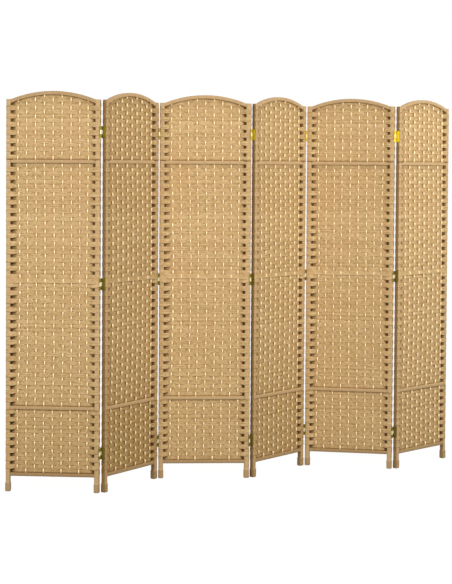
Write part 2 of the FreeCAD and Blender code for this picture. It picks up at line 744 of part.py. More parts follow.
nodes = []
for number, (edge, yaw) in enumerate(zigzag):
    left = "plain" if number == 0 else "hinged"
    right = "plain" if number == PANELS - 1 else "hinged"
    held = [side for side, kind in (("left", left), ("right", right)) if kind == "hinged"]
    contents = {
        "stiles": [cores[left]["left"], cores[right]["right"]],
        "rails": rail_cores,
        "stile_windings": [sleeves[left]["left"], sleeves[right]["right"]],
        "rail_windings": rail_sleeves,
        "warps": warp_cords,
        "weft": weft_sheets,
        "hinge_leaves": [piece for side in held for piece in leaves[side]],
        "hinge_screws": [piece for side in held for piece in screws[side]],
    }
    for name, pieces in contents.items():
        nodes.append((group(f"panel_{number + 1}_{name}", pieces), squared.multiply(standing(edge, yaw))))
for number in range(PANELS - 1):
    point, yaw = link_frame(zigzag, number)
    for name, pieces in (("hinge_links", links), ("hinge_pins", pins)):
        node = group(f"{name}_{number + 1}_{number + 2}", pieces)
        nodes.append((node, squared.multiply(standing(point, yaw))))
for node, place_in_row in nodes:
    node.Placement = place_in_row
doc.recompute()

# The origin is the middle of the whole screen's footprint, on the floor.
bounds = FreeCAD.BoundBox()
for node, place_in_row in nodes:
    bounds.add(node.Shape.optimalBoundingBox(False, False))
centre = FreeCAD.Placement(FreeCAD.Vector(-bounds.Center.x, -bounds.Center.y, 0), UPRIGHT)
for node, place_in_row in nodes:
    node.Placement = centre.multiply(place_in_row)
doc.recompute()

for item in doc.Objects:
    if "Invalid" in item.State or "Error" in item.State:
        raise RuntimeError(f"{item.Name} failed: {item.State}")
os.makedirs("parts", exist_ok=True)
for node, place_in_row in nodes:
    shape = node.Shape
    if shape.isNull() or not shape.isValid() or not shape.Solids:
        raise RuntimeError(f"{node.Label} has no valid shape")
    print(node.Label, len(shape.Solids), "solids", round(shape.Volume), "mm3")
for node, place_in_row in nodes:
    node.Shape.exportStep(f"parts/{node.Label}.step")
extents = (bounds.XLength, bounds.YLength, bounds.ZMax, bounds.ZMin)
print("width, depth, top, floor", [round(extent, 3) for extent in extents])
for number in range(PANELS - 1):
    label = f"hinge_pins_{number + 1}_{number + 2}"
    hinge_place = next(node for node, _ in nodes if node.Label == label).Placement
    for side, sign in (("front", -1), ("back", 1)):
        pin = hinge_place.multVec(FreeCAD.Vector(0, sign * value(PIN_OFFSET), 0))
        print(f"pin {number + 1}_{number + 2} {side}", round(pin.x, 4), round(pin.y, 4))
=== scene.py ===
"""Folding room divider: six arched panels, wound and woven with paper cord, set in a zig-zag.

Each panel is modelled once in its own place, standing on z = 0 with its left edge at x = 0, its
middle plane at y = 0 and its front towards -Y, and is then set out along the row. The hinges
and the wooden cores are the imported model's own solids with better finishes. All lengths are in
metres.
"""

from __future__ import annotations

import json
import logging
import math
from collections.abc import Callable, Mapping, Sequence
from dataclasses import dataclass, field
from enum import Enum

import bpy
import numpy as np
from mathutils import Matrix, Vector

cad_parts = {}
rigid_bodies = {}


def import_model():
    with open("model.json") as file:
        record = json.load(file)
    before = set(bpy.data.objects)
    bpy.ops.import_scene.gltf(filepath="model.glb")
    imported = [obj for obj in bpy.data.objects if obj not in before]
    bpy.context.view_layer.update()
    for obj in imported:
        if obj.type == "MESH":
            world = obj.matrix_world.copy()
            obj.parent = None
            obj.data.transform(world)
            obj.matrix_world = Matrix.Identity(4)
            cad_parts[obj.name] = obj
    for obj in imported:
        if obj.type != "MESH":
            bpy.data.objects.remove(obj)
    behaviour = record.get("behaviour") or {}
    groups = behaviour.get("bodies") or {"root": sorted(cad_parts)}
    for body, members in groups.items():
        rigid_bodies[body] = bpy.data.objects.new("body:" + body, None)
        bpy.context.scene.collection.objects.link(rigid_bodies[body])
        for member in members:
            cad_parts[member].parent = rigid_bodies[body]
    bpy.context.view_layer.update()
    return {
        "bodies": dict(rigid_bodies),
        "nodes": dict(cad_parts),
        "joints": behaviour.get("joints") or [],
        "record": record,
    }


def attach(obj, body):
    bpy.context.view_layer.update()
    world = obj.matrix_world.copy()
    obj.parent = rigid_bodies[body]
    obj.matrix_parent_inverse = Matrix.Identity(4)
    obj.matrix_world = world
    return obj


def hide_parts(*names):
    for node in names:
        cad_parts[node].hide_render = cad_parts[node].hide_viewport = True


LOG = logging.getLogger("folding_screen")
MM = 0.001

Piece = bpy.types.Object
Triple = tuple[float, float, float]
Colour = Triple
Station = tuple[float, float, float, float, float]


def ramp(values: np.ndarray, start: float | np.ndarray, end: float | np.ndarray) -> np.ndarray:
    """Return how far values have come from a start to an end, kept between 0 and 1."""
    return np.clip((values - start) / (end - start), 0.0, 1.0)


def eased(share: float | np.ndarray) -> float | np.ndarray:
    """Return a share of a way that is left and reached softly."""
    return share * share * (3 - 2 * share)


def lay(x: np.ndarray, y: np.ndarray, z: np.ndarray | float) -> np.ndarray:
    """Return rings of points from their x, y and z."""
    return np.stack(np.broadcast_arrays(x, y, z), axis=-1)


# Shader expressions


class Wire:
    """A shader socket that takes part in Python arithmetic and adds Math nodes as it does."""

    def __init__(self, shader: Shader, socket: bpy.types.NodeSocket | None) -> None:
        """Wrap an output socket of one of a shader's nodes."""
        self.shader = shader
        self.socket = socket

    def math(self, operation: str, *others: Wire | float) -> Wire:
        """Return the result of a Math node that starts from this value."""
        return self.shader.math(operation, self, *others)

    @staticmethod
    def operator(operation: str, reflected: bool = False) -> Callable[[Wire, Wire | float], Wire]:
        """Write an operator's method.

        Args:
            operation: Blender's name of the operation.
            reflected: Whether this value stands on the operator's right.

        Returns:
            The method.
        """

        def method(self: Wire, other: Wire | float) -> Wire:
            """Return what a Math node makes of this value and another."""
            return self.shader.math(operation, *((other, self) if reflected else (self, other)))

        return method

    __add__, __radd__ = operator("ADD"), operator("ADD", reflected=True)
    __sub__, __rsub__ = operator("SUBTRACT"), operator("SUBTRACT", reflected=True)
    __mul__, __rmul__ = operator("MULTIPLY"), operator("MULTIPLY", reflected=True)
    __truediv__, __rtruediv__ = operator("DIVIDE"), operator("DIVIDE", reflected=True)

    def __abs__(self) -> Wire:
        """Return this value without its sign."""
        return self.math("ABSOLUTE")

    def clamped(self) -> Wire:
        """Return this value kept between 0 and 1."""
        return self.math("MINIMUM", 1.0).math("MAXIMUM", 0.0)

    def rise(self, start: float, slope: float) -> Wire:
        """Return how far this value is past a start, times a slope, kept between 0 and 1."""
        return ((self - start) * slope).clamped()


class Shader:
    """The node tree of a material or of the world, built from calls and expressions."""

    def __init__(self, owner: bpy.types.Material | bpy.types.World) -> None:
        """Start with an empty tree.

        Args:
            owner: The material or world that the tree belongs to.
        """
        self.owner = owner
        owner.use_nodes = True
        self.tree = owner.node_tree
        self.tree.nodes.clear()

    def node(
        self,
        kind: str,
        settings: Mapping[str, object] | None = None,
        inputs: Mapping[str | int, object] | None = None,
        out: str | int | None = 0,
    ) -> Wire:
        """Add a node, set it up, and feed its sockets.

        Args:
            kind: The node's type name.
            settings: The node's properties.
            inputs: Values or links by socket name or number.
            out: Name or number of the output that is returned, or None if the node has none.

        Returns:
            The chosen output.
        """
        made = self.tree.nodes.new(kind)
        for key, setting in (settings or {}).items():
            setattr(made, key, setting)
        for key, given in (inputs or {}).items():
            if isinstance(given, Wire):
                self.tree.links.new(given.socket, made.inputs[key])
            else:
                made.inputs[key].default_value = given
        return Wire(self, None if out is None else made.outputs[out])

    def math(self, operation: str, *values: Wire | float) -> Wire:
        """Return the result of a Math node."""
        return self.node("ShaderNodeMath", {"operation": operation}, dict(enumerate(values)))

    def attribute(self, name: str) -> Wire:
        """Return a number that the mesh carries on its points."""
        return self.node("ShaderNodeAttribute", {"attribute_name": name}, out="Fac")

    def place(self) -> Wire:
        """Return the point's Object coordinates."""
        return self.node("ShaderNodeTexCoord", out="Object")

    def measure(self, axis: str) -> Wire:
        """Return one of the point's Object coordinates."""
        return self.node("ShaderNodeSeparateXYZ", inputs={0: self.place()}, out=axis)

    def vector(self, x: Wire | float, y: Wire | float, z: Wire | float) -> Wire:
        """Return a vector put together from three numbers."""
        return self.node("ShaderNodeCombineXYZ", inputs={0: x, 1: y, 2: z})

    def scaled(self, vector: Wire, factors: Sequence[float]) -> Wire:
        """Return a vector stretched along its axes."""
        return self.node("ShaderNodeMapping", {"vector_type": "POINT"}, {0: vector, "Scale": factors})

    def seen(self) -> Wire:
        """Tell the camera's view, straight or by way of metal or glass, from other light.

        Returns:
            1 for what the camera sees, and 0 for the rest.
        """
        ways = ("Camera", "Glossy", "Transmission")
        rays = [self.node("ShaderNodeLightPath", out=f"Is {way} Ray") for way in ways]
        return (rays[0] + rays[1] + rays[2]).clamped()

    def noise(self, vector: Wire, scale: float, detail: float = 3.0, roughness: float = 0.55) -> Wire:
        """Return a noise value about one half.

        Args:
            vector: Where the noise is read.
            scale: How fine it is.
            detail: How many finer layers it has.
            roughness: How strong the finer layers are.

        Returns:
            The noise value.
        """
        inputs = {"Vector": vector, "Scale": scale, "Detail": detail, "Roughness": roughness}
        return self.node("ShaderNodeTexNoise", inputs=inputs)

    def chance(self, number: Wire) -> Wire:
        """Return a value between 0 and 1 that differs for each whole number."""
        return self.node("ShaderNodeTexWhiteNoise", {"noise_dimensions": "1D"}, {"W": number})

    def blend(self, share: Wire | float, first: Wire | Colour, second: Wire | Colour) -> Wire:
        """Return a colour between two colours.

        Args:
            share: How much of the second colour there is.
            first: The first colour.
            second: The second colour.

        Returns:
            The blended colour.
        """
        colours = [(*c, 1.0) if isinstance(c, tuple) else c for c in (first, second)]
        settings = {"data_type": "RGBA", "blend_type": "MIX"}
        return self.node("ShaderNodeMix", settings, {0: share, 6: colours[0], 7: colours[1]}, out=2)

    def bump(self, height: Wire, depth: float, strength: float = 1.0) -> Wire:
        """Return a normal that follows a height value.

        Args:
            height: The height, about 0 to 1.
            depth: The real depth of a height of 1.
            strength: How much of it shows.

        Returns:
            The normal.
        """
        inputs = {"Strength": strength, "Distance": depth, "Height": height}
        return self.node("ShaderNodeBump", inputs=inputs, out="Normal")

    def close(self, kind: str, surface: Wire) -> None:
        """Lead a finished surface or background to the tree's output node."""
        self.node(kind, inputs={"Surface": surface}, out=None)

    def finish(self, **sockets: object) -> bpy.types.Material:
        """Close a material with a Principled shader.

        Args:
            sockets: The shader's inputs, with underscores for spaces.

        Returns:
            The material.
        """
        inputs = {name.replace("_", " "): given for name, given in sockets.items()}
        self.close("ShaderNodeOutputMaterial", self.node("ShaderNodeBsdfPrincipled", inputs=inputs))
        return self.owner


def srgb(*channels: int) -> Colour:
    """Return a linear colour from its red, green and blue screen values, 0 to 255."""
    shares = [channel / 255 for channel in channels]
    return tuple(s / 12.92 if s <= 0.04045 else ((s + 0.055) / 1.055) ** 2.4 for s in shares)


@dataclass(frozen=True)
class CordFinish:
    """Twisted paper cord laid side by side. The pieces carry how far a point is along its cord,
    and across how many cords it is."""

    name: str
    light: Colour
    dark: Colour
    warm: Colour
    olive: Colour
    # The brown that painted shade in grooves, on band edges and in the marked places blends towards.
    groove: Colour
    lead: float
    groove_shade: float
    groove_width: float = 0.3
    rim_shade_depth: float = 0.0
    rim_width: float = 0.28
    band_middle: float = 2.0
    uneven: float = 1.0
    gloss: float = 0.0
    shade_tint: Colour = (0.235, 0.12, 0.003)
    twist_height: float = 0.35 * MM
    tone_share: float = 0.5
    slub_share: float = 2.4
    fibre_share: float = 1.2
    warm_share: float = 0.6
    olive_share: float = 0.4
    twist_shade: float = 0.22

    def make(self) -> bpy.types.Material:
        """Mix the cord's colours and twist, and paint shade into it.

        Returns:
            The cord's material.
        """
        shader = Shader(bpy.data.materials.new(self.name))
        along, across, row, painted_shade, age, rim_shade = (
            shader.attribute(name) for name in ("along", "across", "row", "painted_shade", "age", "rim_shade")
        )
        cord = across.math("FLOOR") + row * 7.0

        def cloud(run: float, side: Wire, layer: Wire | float, detail: float, rough: float = 0.55) -> Wire:
            """Return noise that runs along the cord and differs from cord to cord."""
            return shader.noise(shader.vector(along * run, side, layer), 1.0, detail, rough)

        slub = cloud(90.0, cord * 3.7, 0.0, 3.0)
        fibre = cloud(300.0, across * 9.0, row, 3.0, 0.6)
        stain = shader.noise(shader.place(), 7.0, 3.0)
        tint = cloud(24.0, row * 2.3, 5.0, 2.0)
        twist = ((along / self.lead + across) * math.tau).math("SINE") * 0.5 + 0.5
        share = shader.chance(cord) * self.tone_share + (slub - 0.5) * self.slub_share
        share = share + (fibre - 0.5) * self.fibre_share + 0.1
        colour = shader.blend((share * self.uneven).clamped(), self.light, self.dark)
        colour = shader.blend(stain.rise(0.42, 2.5) * self.warm_share, colour, self.warm)
        colour = shader.blend(tint.rise(0.45, 3.0) * self.olive_share, colour, self.olive)
        # Painted shade: panels that face away from the lamps, and every panel towards its feet, blend towards
        # a deeper amber.
        colour = shader.blend(age, colour, self.shade_tint)
        edge = abs(across.math("FRACT") - 0.5) * 2.0
        # Painted shade in the grooves between neighbouring cords and between the turns of a winding.
        groove_shades = ((edge - (1.0 - self.groove_width)) / self.groove_width).clamped()
        groove_shades = groove_shades * cloud(55.0, cord * 1.3, row, 2.0).rise(0.3, 2.6) * self.groove_shade
        # Painted shade along each band's upper and lower edges, where rows meet, as strong as the point's rim
        # mark asks.
        off_middle = abs(across - self.band_middle) - (self.band_middle - self.rim_width)
        rim_shades = (off_middle / self.rim_width).clamped() * rim_shade * self.rim_shade_depth
        # Painted shade in the valleys of the twist.
        twist_shades = ((0.3 - twist) * 2.0).clamped() * self.twist_shade
        # Painted shade from the grooves, the band edges, the twist and each point's shade mark.
        colour = shader.blend((groove_shades + rim_shades + twist_shades + painted_shade).clamped(), colour, self.groove)
        return shader.finish(
            Base_Color=colour,
            Roughness=(0.6 - self.gloss * 0.4 + fibre * 0.25).clamped(),
            Metallic=self.gloss,
            Specular_IOR_Level=0.2,
            Normal=shader.bump(twist * 0.55 + fibre * 0.45, self.twist_height, 0.6),
        )


@dataclass(frozen=True)
class WoodFinish:
    """Plain sawn wood, its grain along the piece's height."""

    name: str = "core_wood"
    light: Colour = srgb(205, 172, 122)
    dark: Colour = srgb(160, 122, 76)
    grain_scale: Triple = (260.0, 260.0, 9.0)
    grain_height: float = 0.2 * MM

    def make(self) -> bpy.types.Material:
        """Draw the grain.

        Returns:
            The wood's material.
        """
        shader = Shader(bpy.data.materials.new(self.name))
        grain = shader.noise(shader.scaled(shader.place(), self.grain_scale), 1.0, 5.0, 0.6)
        colour = shader.blend(grain, self.light, self.dark)
        normal = shader.bump(grain, self.grain_height)
        return shader.finish(Base_Color=colour, Roughness=0.5 + grain * 0.3, Normal=normal)


@dataclass(frozen=True)
class BrassFinish:
    """Thin stamped brass, a little dulled, and brighter and yellower high up towards the right."""

    name: str
    bright: Colour
    dull: Colour
    high_yellow: Colour = srgb(236, 214, 60)
    yellow_from: float = 1.4
    yellow_left: float = -0.8
    scratch_scale: Triple = (900.0, 900.0, 60.0)
    scratch_height: float = 0.05 * MM

    def make(self) -> bpy.types.Material:
        """Cloud and scratch the brass.

        Returns:
            The brass's material.
        """
        shader = Shader(bpy.data.materials.new(self.name))
        cloud = shader.noise(shader.place(), 120.0, 4.0)
        scratch = shader.noise(shader.scaled(shader.place(), self.scratch_scale), 1.0, 3.0, 0.7)
        colour = shader.blend((cloud * 0.9 + scratch * 0.4 - 0.15).clamped(), self.bright, self.dull)
        # Brighter, yellower brass high up towards the right.
        high = shader.measure("Z").rise(self.yellow_from, 10.0)
        colour = shader.blend(high * shader.measure("X").rise(self.yellow_left, 0.5), colour, self.high_yellow)
        rough = 0.28 + cloud * 0.22 + scratch * 0.1
        normal = shader.bump(scratch, self.scratch_height, 0.5)
        return shader.finish(Base_Color=colour, Roughness=rough, Metallic=0.85, Normal=normal)


# Bench work


class Bench:
    """Blender's own operators, with what they act on picked in code."""

    @staticmethod
    def take(*pieces: Piece) -> None:
        """Select some pieces and nothing else, and make the first one active.

        Args:
            pieces: The pieces.
        """
        if bpy.context.object is not None and bpy.context.object.mode != "OBJECT":
            bpy.ops.object.mode_set(mode="OBJECT")
        bpy.ops.object.select_all(action="DESELECT")
        for piece in pieces:
            piece.select_set(True)
        bpy.context.view_layer.objects.active = pieces[0] if pieces else None

    @staticmethod
    def pick_edges(piece: Piece, wanted: Callable[[Vector, Vector], bool]) -> None:
        """Select the edges whose two ends answer to a test, and stay in edit mode.

        Args:
            piece: The piece to work on.
            wanted: The test on an edge's two ends.
        """
        Bench.take(piece)
        bpy.ops.object.mode_set(mode="EDIT")
        bpy.ops.mesh.select_mode(type="EDGE")
        bpy.ops.mesh.select_all(action="DESELECT")
        bpy.ops.object.mode_set(mode="OBJECT")
        points = piece.data.vertices
        for edge in piece.data.edges:
            edge.select = wanted(points[edge.vertices[0]].co, points[edge.vertices[1]].co)
        bpy.ops.object.mode_set(mode="EDIT")

    @staticmethod
    def array(piece: Piece, count: int, step: Triple) -> None:
        """Repeat a piece's mesh at an even step.

        Args:
            piece: The piece.
            count: How often it stands there in the end.
            step: How far each repeat is moved on.
        """
        Bench.take(piece)
        repeat = piece.modifiers.new("repeat", "ARRAY")
        repeat.count = count
        repeat.use_relative_offset = False
        repeat.use_constant_offset = True
        repeat.constant_offset_displace = step
        bpy.ops.object.modifier_apply(modifier=repeat.name)

    @staticmethod
    def named(name: str) -> Piece:
        """Name the active piece and its mesh.

        Args:
            name: The new name.

        Returns:
            The piece.
        """
        piece = bpy.context.object
        piece.name = piece.data.name = name
        return piece

    @staticmethod
    def join(name: str, pieces: Sequence[Piece]) -> Piece:
        """Join pieces into the first of them.

        Args:
            name: The joined piece's name.
            pieces: What is joined.

        Returns:
            The joined piece.
        """
        Bench.take(*pieces)
        if len(pieces) > 1:
            bpy.ops.object.join()
        return Bench.named(name)

    @staticmethod
    def copy(piece: Piece, name: str) -> Piece:
        """Copy a piece with its mesh.

        Args:
            piece: The piece.
            name: The copy's name.

        Returns:
            The copy.
        """
        Bench.take(piece)
        bpy.ops.object.duplicate(linked=False)
        return Bench.named(name)

    @staticmethod
    def points(piece: Piece) -> np.ndarray:
        """Read the places of a piece's points.

        Args:
            piece: The piece.

        Returns:
            Rows of x, y and z.
        """
        flat = np.empty(len(piece.data.vertices) * 3)
        piece.data.vertices.foreach_get("co", flat)
        return flat.reshape(-1, 3)

    @staticmethod
    def move_points(piece: Piece, points: np.ndarray) -> None:
        """Set the piece's points from rows of x, y and z."""
        piece.data.vertices.foreach_set("co", points.astype(float).ravel())
        piece.data.update()

    @staticmethod
    def marks(piece: Piece, name: str) -> np.ndarray:
        """Read a number that a piece's points carry.

        Args:
            piece: The piece.
            name: The number's name.

        Returns:
            The number of each point.
        """
        values = np.empty(len(piece.data.vertices), np.float32)
        piece.data.attributes[name].data.foreach_get("value", values)
        return values

    @staticmethod
    def mark(piece: Piece, name: str, values: np.ndarray | float) -> None:
        """Write a number on each of the piece's points for its material to read.

        Args:
            piece: The piece.
            name: The number's name.
            values: A number for each point, or one for all.
        """
        layer = piece.data.attributes.get(name)
        if layer is None:
            layer = piece.data.attributes.new(name, "FLOAT", "POINT")
        spread = np.broadcast_to(values, len(piece.data.vertices))
        layer.data.foreach_set("value", spread.astype(np.float32))


@dataclass
class Tube:
    """A closed tube of rings. A cylinder is cut into rings along its length, and the rings are
    then laid along a path: cord that winds and weaves has no shape that an operator gives. How
    far points are along and across the cord, and their painted shade, come by ring, by side or both."""

    name: str
    rings: np.ndarray
    along: np.ndarray
    across: np.ndarray
    painted_shade: np.ndarray | float = 0.0

    def build(self) -> Piece:
        """Cut the rings, lay them, and mark their points.

        Returns:
            The tube.
        """
        count, sides = self.rings.shape[:2]
        Bench.take()
        bpy.ops.mesh.primitive_cylinder_add(vertices=sides, radius=1.0, depth=1.0, end_fill_type="NGON")
        tube = bpy.context.object
        tube.name = self.name
        Bench.pick_edges(tube, lambda a, b: abs(a.z - b.z) > 0.5)
        bpy.ops.mesh.subdivide_edgering(number_cuts=count - 2, interpolation="LINEAR")
        bpy.ops.object.mode_set(mode="OBJECT")
        start = Bench.points(tube)
        ring = np.rint((start[:, 2] + 0.5) * (count - 1)).astype(int)
        turn = np.arctan2(start[:, 1], start[:, 0]) - math.atan2(start[0, 1], start[0, 0])
        side = np.rint(turn / math.tau * sides).astype(int) % sides
        Bench.move_points(tube, self.rings[ring, side])
        marks = {"along": self.along, "across": self.across, "row": 0.0, "painted_shade": self.painted_shade}
        for name, values in marks.items():
            Bench.mark(tube, name, np.broadcast_to(values, (count, sides))[ring, side])
        Bench.take(tube)
        bpy.ops.object.mode_set(mode="EDIT")
        bpy.ops.mesh.select_all(action="SELECT")
        bpy.ops.mesh.normals_make_consistent(inside=False)
        bpy.ops.object.mode_set(mode="OBJECT")
        bpy.ops.object.shade_smooth()
        return tube


# One panel


@dataclass(frozen=True)
class PanelSizes:
    """Sizes that the pieces of a panel share."""

    width: float = 400 * MM
    bar: float = 20 * MM
    bar_corner: float = 3 * MM
    stile_top: float = 1665 * MM
    rail: float = 16 * MM
    rail_corner: float = 2.5 * MM
    rail_levels: Triple = (74 * MM, 358 * MM, 1403 * MM)
    arch_rise: float = 35 * MM
    hinge_levels: Triple = (167 * MM, 886 * MM, 1528 * MM)
    hinge_reach: float = 26 * MM
    warp_count: int = 9
    warp_margin: float = 28 * MM
    tuck: float = 1 * MM

    @property
    def arch_radius(self) -> float:
        """Return the radius of the arch's upper side."""
        half = self.width / 2 - self.bar
        return (half**2 + self.arch_rise**2) / (2 * self.arch_rise)

    @property
    def arch_centre(self) -> float:
        """Return the level of the arch's centre."""
        return self.stile_top + self.arch_rise - self.arch_radius

    def warp_places(self) -> np.ndarray:
        """Return the warps' x, from left to right."""
        first = self.bar + self.warp_margin
        return np.linspace(first, self.width - first, self.warp_count)

    def from_edge(self, x: np.ndarray) -> np.ndarray:
        """Return how far some x are from the nearer outer edge."""
        return np.minimum(x, self.width - x)

    def underside(self, x: np.ndarray) -> np.ndarray:
        """Return the level of the arch's underside over some x."""
        off = np.minimum(np.abs(x - self.width / 2), self.width / 2 - self.bar)
        return self.arch_centre + np.sqrt((self.arch_radius - self.rail) ** 2 - off**2)

    def squeeze_under_arch(self, points: np.ndarray, tuck: float = 3 * MM, soft: float = 6 * MM) -> None:
        """Crowd points that reach past the arch's underside together just inside it.

        Args:
            points: Rows of x, y and z, changed in place.
            tuck: How far inside the arch the highest points end.
            soft: How far below that the crowding starts.
        """
        limit = self.underside(points[:, 0]) + tuck
        over = np.maximum(points[:, 2] - (limit - soft), 0.0)
        points[:, 2] = np.where(over > 0, limit - soft * np.exp(-over / soft), points[:, 2])


@dataclass(frozen=True)
class Bay:
    """A stretch of weave between two rails: its foot, its row height and its rows."""

    foot: float
    row_height: float
    rows: int
    starts_behind: bool

    def level(self, row: int) -> float:
        """Return the level of a row's middle."""
        return self.foot + (row + 0.5) * self.row_height

    def course(self, row: int) -> Course:
        """Return the side of the stiles that a row passes on."""
        return Course.BEHIND if (row % 2 == 0) == self.starts_behind else Course.BEFORE


BAYS = {
    "lower": Bay(82 * MM, 16.75 * MM, 16, True),
    "middle": Bay(366 * MM, 1029 / 59 * MM, 59, True),
    "upper": Bay(1411 * MM, 17.4 * MM, 14, False),
}
LATH_ROW = 30


class Course(Enum):
    """Which side of the stiles a row of weft passes on, as the sign of y."""

    BEFORE = -1.0
    BEHIND = 1.0


@dataclass
class Winding:
    """Cord wound tightly round a square bar: one low ridge for each turn."""

    sizes: PanelSizes
    sides: int = 12
    pitch: float = 3.6 * MM
    groove: float = 0.4 * MM
    leg_height: float = 38 * MM
    leg_swell: float = 1.5 * MM
    leg_round: float = 4 * MM
    end_round: float = 1.2 * MM
    end_gap: float = 0.6 * MM
    arch_spread: float = math.radians(23.0)
    # Painted shade on the stiles' side faces and legs, on the rails and along their edges, and on the arch's
    # upper side.
    stile_shade: Triple = (0.6, 0.45, 0.22)
    rail_shade: tuple[float, float] = (0.14, 0.5)
    arch_shade: tuple[float, float] = (0.22, 0.3)

    def section(self, half: float, corner: float, inset: np.ndarray) -> np.ndarray:
        """Return rings of a square with rounded corners.

        Args:
            half: Half of the square's side.
            corner: Its corner radius.
            inset: How far each ring is drawn in.

        Returns:
            An array of rings, each of twelve points (a, b).
        """
        rings = np.empty((len(inset), self.sides, 2))
        away = math.sqrt(2) * (half - inset - corner)
        for point in range(self.sides):
            quarter, step = divmod(point, 3)
            for axis, wave in enumerate((math.cos, math.sin)):
                middle, angle = math.radians(quarter * 90 + 45), math.radians(quarter * 90 + step * 45)
                rings[:, point, axis] = away * wave(middle) + corner * wave(angle)
        return rings

    def turns(self, length: float) -> tuple[np.ndarray, np.ndarray, np.ndarray]:
        """Return a winding's rings, on each turn and between two turns.

        Args:
            length: The winding's length.

        Returns:
            The rings' places along the bar, how far each is drawn in, and their turn numbers.
        """
        number = np.arange(2 * round(length / self.pitch) + 1)
        inset = np.where(number % 2 == 0, self.groove, 0.0)
        return np.linspace(0.0, length, len(number)), inset, number / 2

    def wound(self, name: str, rings: np.ndarray, turn: np.ndarray, half: float, painted_shade: np.ndarray) -> Piece:
        """Return a winding as a tube, marked with its turns.

        Args:
            name: The piece's name.
            rings: The rings' points.
            turn: The rings' turn numbers.
            half: Half of the bar's side.
            painted_shade: How much shade is painted on each point.

        Returns:
            The winding.
        """
        along = np.arange(self.sides) / self.sides * 8 * half
        return Tube(name, rings, along, turn[:, None], painted_shade).build()

    def stile(self, name: str, x: float) -> Piece:
        """Return the winding of a whole stile, with a thicker, rounded leg end.

        Args:
            name: The piece's name.
            x: The stile's middle.

        Returns:
            The winding.
        """
        half, height = self.sizes.bar / 2, self.sizes.stile_top
        place, inset, turn = self.turns(height)
        leg = ramp(place, self.leg_height + 2 * MM, self.leg_height - 2 * MM)
        foot = ramp(place, self.leg_round, 0.0)
        top = ramp(place, height - 2 * MM, height)
        inset = inset - self.leg_swell * leg
        inset = inset + self.leg_round * (1 - np.sqrt(1 - foot**2)) + self.end_round * top**2
        ring = self.section(half, self.sizes.bar_corner, inset)
        level = np.minimum(place, height - self.end_gap)[:, None]
        inwards = math.copysign(1.0, self.sizes.width / 2 - x) * ring[:, :, 0] / half
        # Painted shade on the stile's outer side face, in the gap between panels, on its inner side face by
        # the side holes, and over the leg near the floor.
        outer, inner, low = self.stile_shade
        painted_shade = outer * ramp(-inwards, 0.8, 0.9) + inner * ramp(inwards, 0.8, 0.9)
        painted_shade = np.maximum(painted_shade, low * leg[:, None])
        return self.wound(name, lay(x + ring[:, :, 0], ring[:, :, 1], level), turn, half, painted_shade)

    def rail(self, name: str, level: float) -> Piece:
        """Return the winding of a straight rail.

        Args:
            name: The piece's name.
            level: The rail's middle.

        Returns:
            The winding.
        """
        half = self.sizes.rail / 2
        start = self.sizes.bar - self.sizes.tuck
        place, inset, turn = self.turns(self.sizes.width - 2 * start)
        ring = self.section(half, self.sizes.rail_corner, inset)
        rings = lay(start + place[:, None], ring[:, :, 0], level + ring[:, :, 1])
        # Painted shade, a little over the whole rail and more along its upper and lower edges.
        plain, edges = self.rail_shade
        painted_shade = plain + edges * ramp(np.abs(ring[:, :, 1]) / half, 0.8, 1.0)
        return self.wound(name, rings, turn, half, painted_shade)

    def arch(self, name: str) -> Piece:
        """Return the winding of the arched rail, its ends let into the stiles.

        Args:
            name: The piece's name.

        Returns:
            The winding.
        """
        half = self.sizes.rail / 2
        radius = self.sizes.arch_radius - half
        place, inset, turn = self.turns(2 * self.arch_spread * radius)
        ring = self.section(half, self.sizes.rail_corner, inset)
        angle = (place / radius - self.arch_spread)[:, None]
        reach = radius + ring[:, :, 1]
        x = self.sizes.width / 2 + reach * np.sin(angle)
        rings = lay(x, ring[:, :, 0], self.sizes.arch_centre + reach * np.cos(angle))
        # Painted shade on the arch, a little all over and more towards its upper side.
        plain, edges = self.arch_shade
        return self.wound(name, rings, turn, half, plain + edges * ramp(ring[:, :, 1] / half, 0.6, 1.0))

    def build_stiles(self) -> Piece:
        """Wind both stiles.

        Returns:
            The windings as one piece.
        """
        half = self.sizes.bar / 2
        ends = {"left": half, "right": self.sizes.width - half}
        return Bench.join("stile_cord", [self.stile(f"{side}_stile", x) for side, x in ends.items()])

    def build_rails(self) -> Piece:
        """Wind the four rails, each with its own run of shades.

        Returns:
            The windings as one piece.
        """
        pieces = [self.rail(f"rail_{i}", level) for i, level in enumerate(self.sizes.rail_levels)]
        pieces.append(self.arch("arch"))
        for number, piece in enumerate(pieces):
            Bench.mark(piece, "row", 40.0 + number)
        return Bench.join("rail_cord", pieces)


